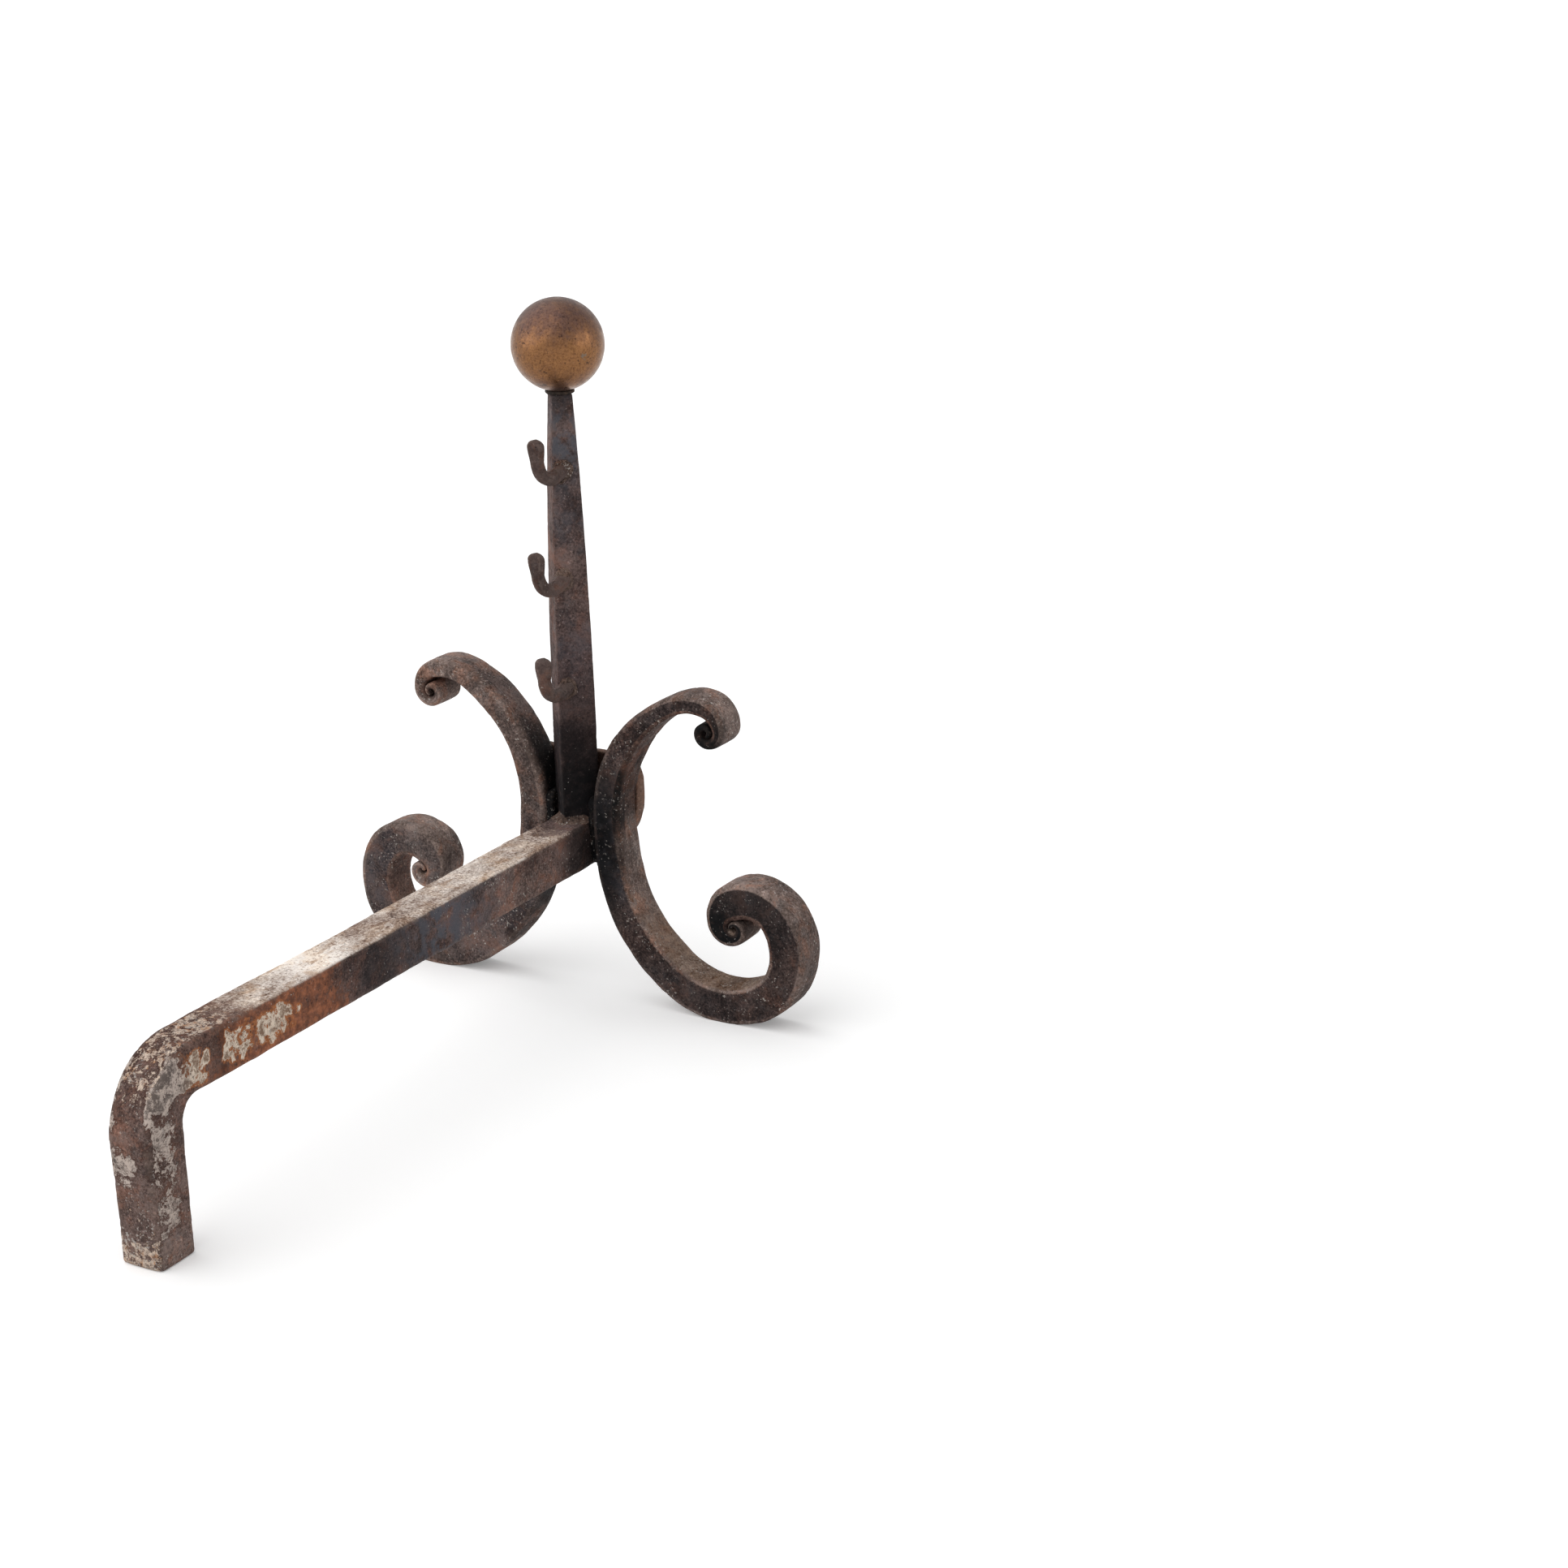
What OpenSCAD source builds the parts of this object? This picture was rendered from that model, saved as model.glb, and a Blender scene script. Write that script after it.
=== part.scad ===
// Hand-forged andiron with a scrolled front, three spit hooks and a brass ball.
// Millimetres, +Z up. The origin lies on the floor under the middle of the scrolls,
// the front faces -Y and the log bar runs back along +Y to its own leg.

/* [Log bar] */
// Width of the log bar
bar_w = 31; // [24:0.5:40]
// Height of the log bar
bar_h = 33; // [24:0.5:40]
// Depth of the rear leg, front to back
leg_t = 31.5; // [22:0.5:36]
// Distance from the scrolls' middle to the rear face of the leg
reach = 481; // [380:5:620]
// Radius inside the bend of the bar
bend_inner_r = 15; // [8:1:24]
// Radius outside the bend of the bar
bend_outer_r = 50; // [36:1:60]
// Chamfer along the edges of the bar
bar_chamfer = 2; // [1:0.25:4]

/* [Upright] */
// Side of the square upright where it stands on the bar
upright_w = 26.5; // [18:0.5:28]
// Side of the upright at its top
upright_top_w = 14.8; // [12:0.5:18]
// Length of the upright
upright_len = 304; // [260:2:380]
// How late the upright tapers, 1 is a straight taper
taper_power = 2.5; // [1:0.1:3]
// Chamfer along the edges of the upright
upright_chamfer = 1.2; // [0.5:0.1:2]

/* [Scrolls] */
// Height of a scroll from the floor to its crest
scroll_h = 236.3; // [200:0.1:280]
// Depth of the scroll stock, front to back
scroll_depth = 27; // [18:1:34]
// Thickness of the scrolls where they are welded to the bar
scroll_root_t = 21.6; // [16:0.2:22]
// Room between the bar's side and a scroll's back, filled by the weld
weld_gap = 4.4; // [2:0.2:8]
// How far the middle of the scrolls stands above the bar's top
scroll_rise = 6.5; // [0:0.5:12]
// How much is flattened off the bottom of each scroll
foot_flat = 1; // [0.4:0.1:2]
// Chamfer along the edges of the scrolls
scroll_chamfer = 2.2; // [1:0.1:3]

/* [Hooks] */
// Distance of the top hook's root below the top of the upright
top_hook_drop = 52; // [36:1:80]
// Height of the middle hook's root above the bar
middle_hook_rise = 176; // [150:0.5:195]
// Height of the bottom hook's root above the bar
bottom_hook_rise = 99; // [70:1:125]
// Straight neck of the top hook before its bend
top_hook_neck = 7; // [6:0.5:12]
// Straight neck of the middle hook before its bend
middle_hook_neck = 9.5; // [6:0.5:13]
// Straight neck of the bottom hook before its bend
bottom_hook_neck = 6; // [6:0.5:12]
// Distance of the hooks from the upright's middle plane, to the left
hook_offset = 4; // [1:0.5:6]
// Radius of a hook's bend
hook_bend_r = 16; // [12:0.5:20]
// Length of a hook's straight blade
hook_blade_len = 15.5; // [12:0.5:22]
// Width of a hook's blade near its end
hook_blade_w = 12.5; // [8:0.5:15]
// Thickness of a hook's blade near its end
hook_blade_t = 5.2; // [3:0.2:6]
// Thickness of a hook at its root
hook_root_t = 10; // [7:0.5:11]

/* [Welds] */
// Radius of the bead around a hook's root
bead_r = 7.5; // [6:0.5:9]
// Height of the bead around a hook's root
bead_h = 4; // [2:0.5:6]
// Leg of the weld around the foot of the upright
base_weld = 5.5; // [3:0.5:7]

/* [Front boss] */
// Width of the boss across its flattened sides
boss_w = 90; // [70:1:110]
// Height of the boss between its flattened top and bottom
boss_h = 55; // [40:1:70]
// Diameter of the disc that the boss was cut from
boss_d = 93; // [76:1:116]
// Thickness of the boss at its rim
boss_rim_t = 7; // [4:0.5:10]
// How far the face of the boss domes out in front of its rim
boss_dome = 4; // [2:0.5:6]
// Height of the boss's middle above the bar's top
boss_rise = 18; // [10:1:24]

/* [Ball] */
// Diameter of the brass ball
ball_d = 63.5; // [45:0.5:80]
// Diameter of the flat that the ball stands on
ball_seat_d = 18; // [14:0.5:22]
// Diameter of the washer under the ball
washer_d = 20.5; // [16:0.5:26]
// Thickness of the washer under the ball
washer_t = 2.5; // [1.5:0.25:4]
// Diameter of the stud that holds the ball
stud_d = 8; // [5:0.5:9]
// Length of the stud inside the ball
stud_in_ball = 24; // [14:1:30]
// Length of the stud inside the upright
stud_in_upright = 14; // [10:1:24]

/* [Hidden] */

// Facets of round work
$fn = 72;
// Largest turn of a swept piece from one ring to the next, in degrees
ring_step = 7;
// Clearance between pieces that are fitted by hand
fit = 0.15;
// Clearance around the stud
stud_fit = 0.1;
// Room kept between the upright's side corners and the scrolls
corner_room = 1.2;
// How far cutting solids run past what they cut
past = 1;
// Colours
iron = [0.20, 0.18, 0.18];
worn_iron = [0.33, 0.29, 0.27];
weld_iron = [0.45, 0.39, 0.34];
brass = [0.62, 0.48, 0.27];

// Height at which the scroll's arcs below are drawn
drawn_scroll_h = 236.3;
// The upper branch of a scroll from its root to its tip, arc by arc, each as
// [radius of the centreline, sweep in degrees, thickness at the arc's end]
upper_arcs = [[100, 14, 20.8], [97, 51, 13.2], [38, 38, 12.2], [17, 72, 8.8], [9.2, 95, 7.4],
              [6.9, 90, 5.4], [5.2, 90, 4.2], [3.7, 90, 3], [2.8, 80, 2.2]];
// The lower branch in the same way: leg, foot, outer turn, volute and its rolled tip
lower_arcs = [[228, 11, 23.8], [108, 48.5, 26.2], [69.5, 53.5, 27.2], [43, 99, 27], [28.5, 95, 25],
              [16.5, 55, 17], [10.5, 111, 9.5], [6, 86, 7], [4.7, 83, 3.4], [3, 90, 2.6]];

// ---- Heights and places that follow from the sizes above ----

// The drawn arcs at the scroll's own height
function at_scroll_size(arcs) =
    let (k = scroll_h / drawn_scroll_h)
    [for (arc = arcs) [k * arc[0], arc[1], k * arc[2]]];

// Distance of a scroll's back from the middle: clear of the bar's weld and of the upright
scroll_back = max(bar_w / 2 + weld_gap, upright_w / sqrt(2) + corner_room);
scroll_x = scroll_back + scroll_root_t / 2;
// Rings of both branches, with heights from the root: [x, z, heading, thickness]
root_upper = [scroll_x, 0, 90, scroll_root_t];
root_lower = [scroll_x, 0, -90, scroll_root_t];
upper_rings = chain(root_upper, at_scroll_size(upper_arcs), -1);
lower_rings = chain(root_lower, at_scroll_size(lower_arcs), 1);
// Height of the scrolls' roots, from the lowest point of the outer edge
scroll_lowest = min([for (r = lower_rings) edge_point(r, -0.5)[1]]);
scroll_z = -scroll_lowest - foot_flat;
bar_top = scroll_z - scroll_rise;
bar_bottom = bar_top - bar_h;
upright_top = bar_top + upright_len;
top_hook_rise = upright_len - top_hook_drop;
ball_seat_z = upright_top + washer_t;
ball_z = ball_seat_z + sqrt(ball_d * ball_d - ball_seat_d * ball_seat_d) / 2;
// Radius of the arc that domes the boss, from its chord and its rise
boss_face_r = (boss_d * boss_d / 4 + boss_dome * boss_dome) / (2 * boss_dome);

// ---- Curves made of tangent arcs ----

// How many rings an arc gets
function arc_steps(arc) = ceil(arc[1] / ring_step);
// Rings along one arc: each is [x, z, heading, thickness]; side is 1 for a left turn
function arc_rings(from, arc, side) =
    [for (i = [1 : arc_steps(arc)])
        let (turned = arc[1] * i / arc_steps(arc),
             chord = 2 * arc[0] * sin(turned / 2),
             heading = from[2] + side * turned / 2)
        [from[0] + chord * cos(heading),
         from[1] + chord * sin(heading),
         from[2] + side * turned,
         from[3] + (arc[2] - from[3]) * i / arc_steps(arc)]];
// Rings along a chain of arcs
function chain(from, arcs, side, k = 0) =
    k == len(arcs) ? [] :
    let (rings = arc_rings(from, arcs[k], side))
    concat(rings, chain(rings[len(rings) - 1], arcs, side, k + 1));
// A point of a ring, out from its centreline by the share s of the thickness
function edge_point(ring, s) =
    [ring[0] - sin(ring[2]) * ring[3] * s, ring[1] + cos(ring[2]) * ring[3] * s];

// ---- Swept pieces ----

// Eight corners of a chamfered bar section, t thick and d deep
function section(t, d, c) =
    [[t / 2, d / 2 - c], [t / 2 - c, d / 2], [c - t / 2, d / 2], [-t / 2, d / 2 - c],
     [-t / 2, c - d / 2], [c - t / 2, -d / 2], [t / 2 - c, -d / 2], [t / 2, c - d / 2]];
// Triangles that join the rings of a sweep and close both its ends
function sweep_faces(rings, sides) =
    concat([[for (k = [0 : sides - 1]) k]],
           [for (i = [0 : rings - 2], k = [0 : sides - 1])
               let (a = i * sides + k, b = i * sides + (k + 1) % sides)
               each [[a, a + sides, b], [b, a + sides, b + sides]]],
           [[for (k = [sides - 1 : -1 : 0]) (rings - 1) * sides + k]]);

// ---- Log bar ----

// Chamfered section of the bar, w wide and h high, about its middle
module bar_section(w, h) {
    polygon(section(w, h, bar_chamfer));
}

// Rings of the bend, each as [point on the inner arc, point on the outer arc]
function bend_ring(turned) =
    [[reach - leg_t - bend_inner_r + bend_inner_r * sin(turned),
      bar_bottom - bend_inner_r + bend_inner_r * cos(turned)],
     [reach - bend_outer_r + bend_outer_r * sin(turned),
      bar_top - bend_outer_r + bend_outer_r * cos(turned)]];
bend_steps = 12;

// The bar swept round its bend: straight to the bend's start, round it and down the leg
module log_bar() {
    inner_start = [reach - leg_t - bend_inner_r, bar_bottom];
    bend_start = min(reach - bend_outer_r, inner_start[0]);
    leg_top = min(bar_top - bend_outer_r, bar_bottom - bend_inner_r);
    pairs = concat([[[bend_start - past, bar_bottom], [bend_start - past, bar_top]]],
                   [for (i = [0 : bend_steps]) bend_ring(90 * i / bend_steps)],
                   [[[reach - leg_t, leg_top - past], [reach, leg_top - past]]]);
    points = [for (pair = pairs)
                 let (middle = (pair[0] + pair[1]) / 2,
                      t = norm(pair[1] - pair[0]),
                      out = (pair[1] - pair[0]) / t)
                 each [for (p = section(t, bar_w, bar_chamfer))
                          [p[1], middle[0] + out[0] * p[0], middle[1] + out[1] * p[0]]]];
    color(iron) {
        translate([0, bend_start - past, (bar_bottom + bar_top) / 2])
            rotate([90, 0, 0])
                linear_extrude(bend_start - past + scroll_depth / 2)
                    bar_section(bar_w, bar_h);
        polyhedron(points, sweep_faces(len(pairs), 8));
        translate([0, reach - leg_t / 2, 0])
            linear_extrude(leg_top - past)
                bar_section(bar_w, leg_t);
    }
}

// ---- Upright ----

// Side of the upright at a height above the bar
function upright_side(rise) =
    upright_w - (upright_w - upright_top_w) * pow(max(rise, 0) / upright_len, taper_power);
upright_rings = 16;

// The tapered square bar, corner to the rear; grow widens it for the cuts that fit it
module upright_shape(grow = 0) {
    points = [for (i = [0 : upright_rings])
                 let (rise = upright_len * i / upright_rings, w = upright_side(rise) + 2 * grow)
                 each [for (p = section(w, w, upright_chamfer)) [p[0], p[1], bar_top + rise]]];
    rotate(45)
        polyhedron(points, sweep_faces(upright_rings + 1, 8));
}

module upright() {
    color(iron)
        difference() {
            upright_shape();
            translate([0, 0, upright_top - stud_in_upright - stud_fit])
                cylinder(d = stud_d + 2 * stud_fit, h = stud_in_upright + stud_fit + past);
        }
}

// ---- Scrolls ----

// How many rings on each side of its root a scroll lies against the weld
back_rings = 5;
// The back of a scroll near its root, as [height above the root, distance from the middle]
function back_edge() =
    concat([for (i = [back_rings - 1 : -1 : 0])
               let (p = edge_point(lower_rings[i], -0.5)) [p[1], p[0]]],
           [[0, scroll_x - scroll_root_t / 2]],
           [for (i = [0 : back_rings - 1])
               let (p = edge_point(upper_rings[i], 0.5)) [p[1], p[0]]]);

// Largest chamfer of a thin ring, as a share of its thickness
thin_chamfer_share = 0.25;

// One scroll, tip to tip, standing on the flat of its foot
module scroll() {
    upper = [for (i = [len(upper_rings) - 1 : -1 : 0])
                let (r = upper_rings[i]) [r[0], r[1], r[2] + 180, r[3]]];
    rings = concat(upper, [root_lower], lower_rings);
    points = [for (r = rings)
                 let (c = min(scroll_chamfer, thin_chamfer_share * r[3]))
                 each [for (p = section(r[3], scroll_depth, c))
                          [r[0] - sin(r[2]) * p[0],
                           -p[1],
                           max(0, r[1] + cos(r[2]) * p[0] + scroll_z)]]];
    polyhedron(points, sweep_faces(len(rings), 8));
}

module right_scroll() {
    color(iron)
        scroll();
}

module left_scroll() {
    color(iron)
        mirror([1, 0, 0])
            scroll();
}

// ---- Front boss ----

boss_face_steps = 8;

module front_boss() {
    thick = boss_rim_t + boss_dome;
    spread = asin(boss_d / 2 / boss_face_r);
    face = [for (i = [0 : boss_face_steps])
               let (a = spread * i / boss_face_steps)
               [boss_face_r * sin(a), thick - boss_face_r * (1 - cos(a))]];
    color(worn_iron)
        translate([0, -scroll_depth / 2, bar_top + boss_rise])
            difference() {
                intersection() {
                    rotate([90, 0, 0])
                        rotate_extrude()
                            polygon(concat(face, [[boss_d / 2, 0], [0, 0]]));
                    translate([-boss_w / 2, -thick - past, -boss_h / 2])
                        cube([boss_w, thick + past, boss_h]);
                }
                translate([0, scroll_depth / 2, -boss_rise - bar_top])
                    upright_shape(fit);
            }
}

// ---- Hooks ----

// Angle at which a hook leaves the upright, and the lean of its blade from upright
hook_dip = 17;
hook_lean = 6;
hook_bend_steps = 10;
hook_blade_steps = 3;
hook_end_steps = 5;
// Chamfer of a hook as a share of its thinner side
hook_chamfer_share = 0.28;
// Share of the blade's width that the bend has
hook_waist_share = 0.74;
// Thickness of the blade's start against its end
hook_waist_t_share = 1.2;
// Height of the blade's round end as a share of its width, and how far round it is cut off
hook_end_share = 0.38;
hook_end_turn = 84;
// Share of the blade's thickness that is left at its tip
hook_tip_t_share = 0.7;

// Rear-left face of the upright beside the hook, from the middle, at a rise above the bar
function hook_face_y(rise) = upright_side(rise) / sqrt(2) - hook_offset;
// Rings of a hook as [y, z, heading, thickness, width] from its root on the face; it starts
// behind the face, at the middle of the upright
function hook_rings(rise, neck_len) =
    let (turn = hook_dip + 90 - hook_lean,
         neck = [neck_len * cos(hook_dip), -neck_len * sin(hook_dip)],
         centre = neck + hook_bend_r * [sin(hook_dip), cos(hook_dip)],
         bend_end = centre + hook_bend_r * [cos(hook_lean), -sin(hook_lean)],
         up = [sin(hook_lean), cos(hook_lean)],
         waist = hook_blade_w * hook_waist_share,
         end = hook_blade_w * hook_end_share)
    concat([[-hook_face_y(rise), hook_face_y(rise) * tan(hook_dip), -hook_dip,
             hook_root_t, hook_root_t]],
           [for (i = [0 : hook_bend_steps])
               let (s = i / hook_bend_steps, a = -hook_dip + turn * s)
               [centre[0] + hook_bend_r * sin(a), centre[1] - hook_bend_r * cos(a), a,
                hook_root_t + (hook_blade_t * hook_waist_t_share - hook_root_t) * s,
                hook_root_t + (waist - hook_root_t) * s]],
           [for (i = [1 : hook_blade_steps])
               let (s = i / hook_blade_steps,
                    run = (hook_blade_len - end) * s)
               [bend_end[0] + up[0] * run, bend_end[1] + up[1] * run, 90 - hook_lean,
                hook_blade_t * (hook_waist_t_share + (1 - hook_waist_t_share) * s),
                waist + (hook_blade_w - waist) * s]],
           [for (i = [1 : hook_end_steps])
               let (a = hook_end_turn * i / hook_end_steps,
                    run = hook_blade_len - end + end * sin(a))
               [bend_end[0] + up[0] * run, bend_end[1] + up[1] * run, 90 - hook_lean,
                hook_blade_t * (hook_tip_t_share + (1 - hook_tip_t_share) * cos(a)),
                hook_blade_w * cos(a)]]);

module hook_shape(rise, neck_len) {
    rings = hook_rings(rise, neck_len);
    points = [for (r = rings)
                 let (c = hook_chamfer_share * min(r[3], r[4]))
                 each [for (p = section(r[3], r[4], c))
                          [p[1],
                           r[0] - sin(r[2]) * p[0],
                           r[1] + cos(r[2]) * p[0]]]];
    translate([-hook_offset, hook_face_y(rise), bar_top + rise])
        polyhedron(points, sweep_faces(len(rings), 8));
}

module hook(rise, neck_len) {
    color(worn_iron)
        difference() {
            hook_shape(rise, neck_len);
            upright_shape();
        }
}

module bottom_hook() {
    hook(bottom_hook_rise, bottom_hook_neck);
}

module middle_hook() {
    hook(middle_hook_rise, middle_hook_neck);
}

module top_hook() {
    hook(top_hook_rise, top_hook_neck);
}

// ---- Welds ----

// Radius of a bead's top as a share of its foot's
bead_top_share = 0.62;

// A bead on the rear-left face of the upright, around a hook's root
module hook_bead(rise, neck_len) {
    difference() {
        translate([-hook_offset, hook_face_y(rise), bar_top + rise])
            rotate([-90, 0, 45])
                translate([0, 0, -past])
                    cylinder(r1 = bead_r + past / 2, r2 = bead_r * bead_top_share, h = bead_h + past);
        upright_shape();
        hook_shape(rise, neck_len);
    }
}

module hook_welds() {
    color(weld_iron) {
        hook_bead(bottom_hook_rise, bottom_hook_neck);
        hook_bead(middle_hook_rise, middle_hook_neck);
        hook_bead(top_hook_rise, top_hook_neck);
    }
}

// Points along a fill's curved side
fill_steps = 10;

// Fills between the bar's sides and the scrolls' backs, and beside the upright
module junction_welds() {
    low = bar_bottom + bar_chamfer - scroll_z;
    high = boss_rise + bar_top - scroll_z;
    back = back_edge();
    outline = concat([[bar_w / 2, high], [bar_w / 2, low]],
                     [for (i = [0 : fill_steps])
                         let (z = low + (high - low) * i / fill_steps)
                         [lookup(z, back) - fit, z]]);
    color(weld_iron)
        for (side = [0, 1])
            mirror([side, 0, 0])
                difference() {
                    translate([0, scroll_depth / 2 - scroll_chamfer, scroll_z])
                        rotate([90, 0, 0])
                            linear_extrude(scroll_depth - 2 * scroll_chamfer)
                                polygon(outline);
                    upright_shape(fit);
                }
}

// The fillet weld around the foot of the upright, no wider than the bar
module upright_weld() {
    outer = upright_w + 2 * base_weld;
    color(weld_iron)
        difference() {
            intersection() {
                translate([0, 0, bar_top])
                    cylinder(d1 = outer * sqrt(2), d2 = upright_w * sqrt(2), h = base_weld, $fn = 4);
                translate([-bar_w / 2, -scroll_depth / 2, bar_top])
                    cube([bar_w, scroll_depth / 2 + outer, base_weld]);
            }
            upright_shape();
        }
}

// ---- Ball ----

module ball_washer() {
    color(worn_iron)
        translate([0, 0, upright_top])
            difference() {
                cylinder(d = washer_d, h = washer_t);
                translate([0, 0, -past])
                    cylinder(d = stud_d + 2 * stud_fit, h = washer_t + 2 * past);
            }
}

module ball_stud() {
    color(iron)
        translate([0, 0, upright_top - stud_in_upright])
            cylinder(d = stud_d, h = stud_in_upright + washer_t + stud_in_ball);
}

module ball_finial() {
    color(brass)
        difference() {
            translate([0, 0, ball_z])
                sphere(d = ball_d);
            translate([0, 0, ball_seat_z - ball_d])
                cylinder(d = ball_d, h = ball_d);
            translate([0, 0, ball_seat_z - past])
                cylinder(d = stud_d + 2 * stud_fit, h = stud_in_ball + stud_fit + past);
        }
}

log_bar();
upright();
left_scroll();
right_scroll();
front_boss();
bottom_hook();
middle_hook();
top_hook();
hook_welds();
junction_welds();
upright_weld();
ball_washer();
ball_stud();
ball_finial();
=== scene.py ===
"""A forged andiron with a brass ball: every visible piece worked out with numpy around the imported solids.

Lengths are in millimetres until a mesh is made. The front faces -Y, the log bar runs back along +Y.
"""

import bpy
import numpy as np
from mathutils import Matrix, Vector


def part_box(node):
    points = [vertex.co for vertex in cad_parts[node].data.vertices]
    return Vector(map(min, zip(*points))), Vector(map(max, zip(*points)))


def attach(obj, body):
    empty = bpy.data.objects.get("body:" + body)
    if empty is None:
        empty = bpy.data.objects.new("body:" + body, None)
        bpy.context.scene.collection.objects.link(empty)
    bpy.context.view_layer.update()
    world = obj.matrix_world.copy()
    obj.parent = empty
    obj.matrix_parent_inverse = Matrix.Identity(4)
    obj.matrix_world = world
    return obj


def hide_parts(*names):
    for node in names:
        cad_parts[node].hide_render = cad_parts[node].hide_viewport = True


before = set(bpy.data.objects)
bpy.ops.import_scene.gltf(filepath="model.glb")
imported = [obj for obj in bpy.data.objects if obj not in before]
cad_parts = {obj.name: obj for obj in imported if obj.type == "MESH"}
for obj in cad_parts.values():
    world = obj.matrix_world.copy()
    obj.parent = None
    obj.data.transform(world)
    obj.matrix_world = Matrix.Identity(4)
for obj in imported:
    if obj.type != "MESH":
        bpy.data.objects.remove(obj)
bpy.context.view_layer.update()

METRE = 1000.0


def cad_box(node):
    """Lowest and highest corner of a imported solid, in millimetres."""
    return [np.array(corner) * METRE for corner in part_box(node)]


# ---- Sizes shared with the solids ----

BAR_LOW, BAR_HIGH = cad_box("log_bar")
UPRIGHT_LOW, UPRIGHT_HIGH = cad_box("upright")
BALL_LOW, BALL_HIGH = cad_box("ball_finial")
WASHER_LOW, WASHER_HIGH = cad_box("ball_washer")
BOSS_LOW, BOSS_HIGH = cad_box("front_boss")
SCROLL_LOW, SCROLL_HIGH = cad_box("right_scroll")

BAR_W = BAR_HIGH[0] - BAR_LOW[0]
BAR_TOP = BAR_HIGH[2]
BAR_H = 33.0
BAR_BOTTOM = BAR_TOP - BAR_H
REACH = BAR_HIGH[1]
LEG_T = 31.5
BEND_IN, BEND_OUT = 15.0, 50.0
# Swelling of the leg's rear side
LEG_BULGE = 1.6
# Y and Z of the round mark on the bend's left side
RING_MARK = (466.0, 108.0)

UPRIGHT_W, UPRIGHT_TOP_W = 26.5, 14.8
UPRIGHT_LEN = UPRIGHT_HIGH[2] - UPRIGHT_LOW[2]
TAPER = 2.5

SCROLL_DEPTH = SCROLL_HIGH[1] - SCROLL_LOW[1]
SCROLL_ROOT_T = 21.6
SCROLL_BACK = SCROLL_LOW[0]
SCROLL_RISE = 6.5
# Arcs from the weld to the tip: radius of the centreline, sweep in degrees, thickness at the end
UPPER_ARCS = [[100, 14, 20.8], [97, 51, 13.2], [38, 38, 12.2], [17, 72, 8.8], [9.2, 95, 7.4],
              [6.9, 90, 5.4], [5.2, 90, 4.2], [3.7, 90, 3], [2.8, 80, 2.2]]
LOWER_ARCS = [[228, 11, 23.8], [108, 48.5, 26.2], [69.5, 53.5, 27.2], [43, 99, 27], [28.5, 95, 25],
              [16.5, 55, 17], [10.5, 111, 9.5], [6, 86, 7], [4.7, 83, 3.4], [3, 90, 2.6]]

# Rise above the bar, straight neck and outward lean in degrees of each hook
HOOKS = {"bottom_hook": (99, 6, 2), "middle_hook": (176, 9.5, 6), "top_hook": (252, 7, 6)}
HOOK_SIDE = 4.0
HOOK_BEND = 16.0
HOOK_BLADE_LEN, HOOK_BLADE_W, HOOK_BLADE_T = 15.5, 12.5, 5.2
HOOK_ROOT_T = 10.0
HOOK_DIP = np.radians(17)

BASE_WELD = 5.5
BOSS_D = 93.0
BOSS_DOME = 4.0
BOSS_RIDGE = 3.0
BALL_D = BALL_HIGH[0] - BALL_LOW[0]
BALL_SEAT_D = 18.0

X = np.array([1.0, 0.0, 0.0])
Y = np.array([0.0, 1.0, 0.0])
Z = np.array([0.0, 0.0, 1.0])


# ---- Numbers over whole arrays ----


def ease(value, low, high):
    """0 up to low, 1 from high on, and 3t^2 - 2t^3 between; falls where low is above high."""
    t = np.clip((np.asarray(value, float) - low) / (high - low), 0, 1)
    return t * t * (3 - 2 * t)


def bell(value, middle, width):
    """exp(-(distance from the middle / width)^2)."""
    return np.exp(-(((value - middle) / width) ** 2))


def grit(points, size, seed):
    """Value noise from -1 to 1: the cube of the lattice that holds a point has a hashed value at
    each of its eight corners, blended by the product of eased distances along the three axes."""
    place = points / size + seed * 7.31
    cell = np.floor(place).astype(np.int64)
    share = ease(place - cell, 0, 1)
    total = np.zeros(points.shape[:-1])
    for corner in range(8):
        step = np.array([corner & 1, corner >> 1 & 1, corner >> 2 & 1])
        key = (cell + step) * np.array([73856093, 19349663, 83492791])
        code = (key[..., 0] ^ key[..., 1] ^ key[..., 2]) & 0xFFFFFFFF
        code = ((code ^ (code >> 13)) * 1274126177) & 0xFFFFFFFF
        value = ((code ^ (code >> 16)) & 0xFFFF) / 32767.5 - 1
        total += value * np.prod(np.where(step, share, 1 - share), axis=-1)
    return total


def hammered(points, seed, strength=1.0):
    """Height of a forged skin: slow waves 34 mm long, hammer marks 13 mm long, scale 4.5 mm long,
    and pits where a fourth noise passes a threshold."""
    wave = 0.28 * grit(points, 34, seed) + 0.26 * grit(points, 13, seed + 1)
    scale = 0.11 * grit(points, 4.5, seed + 2)
    pits = 0.22 * ease(grit(points, 2.6, seed + 3), 0.35, 0.8)
    return strength * (wave + scale - pits)


# ---- Meshes ----


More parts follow.
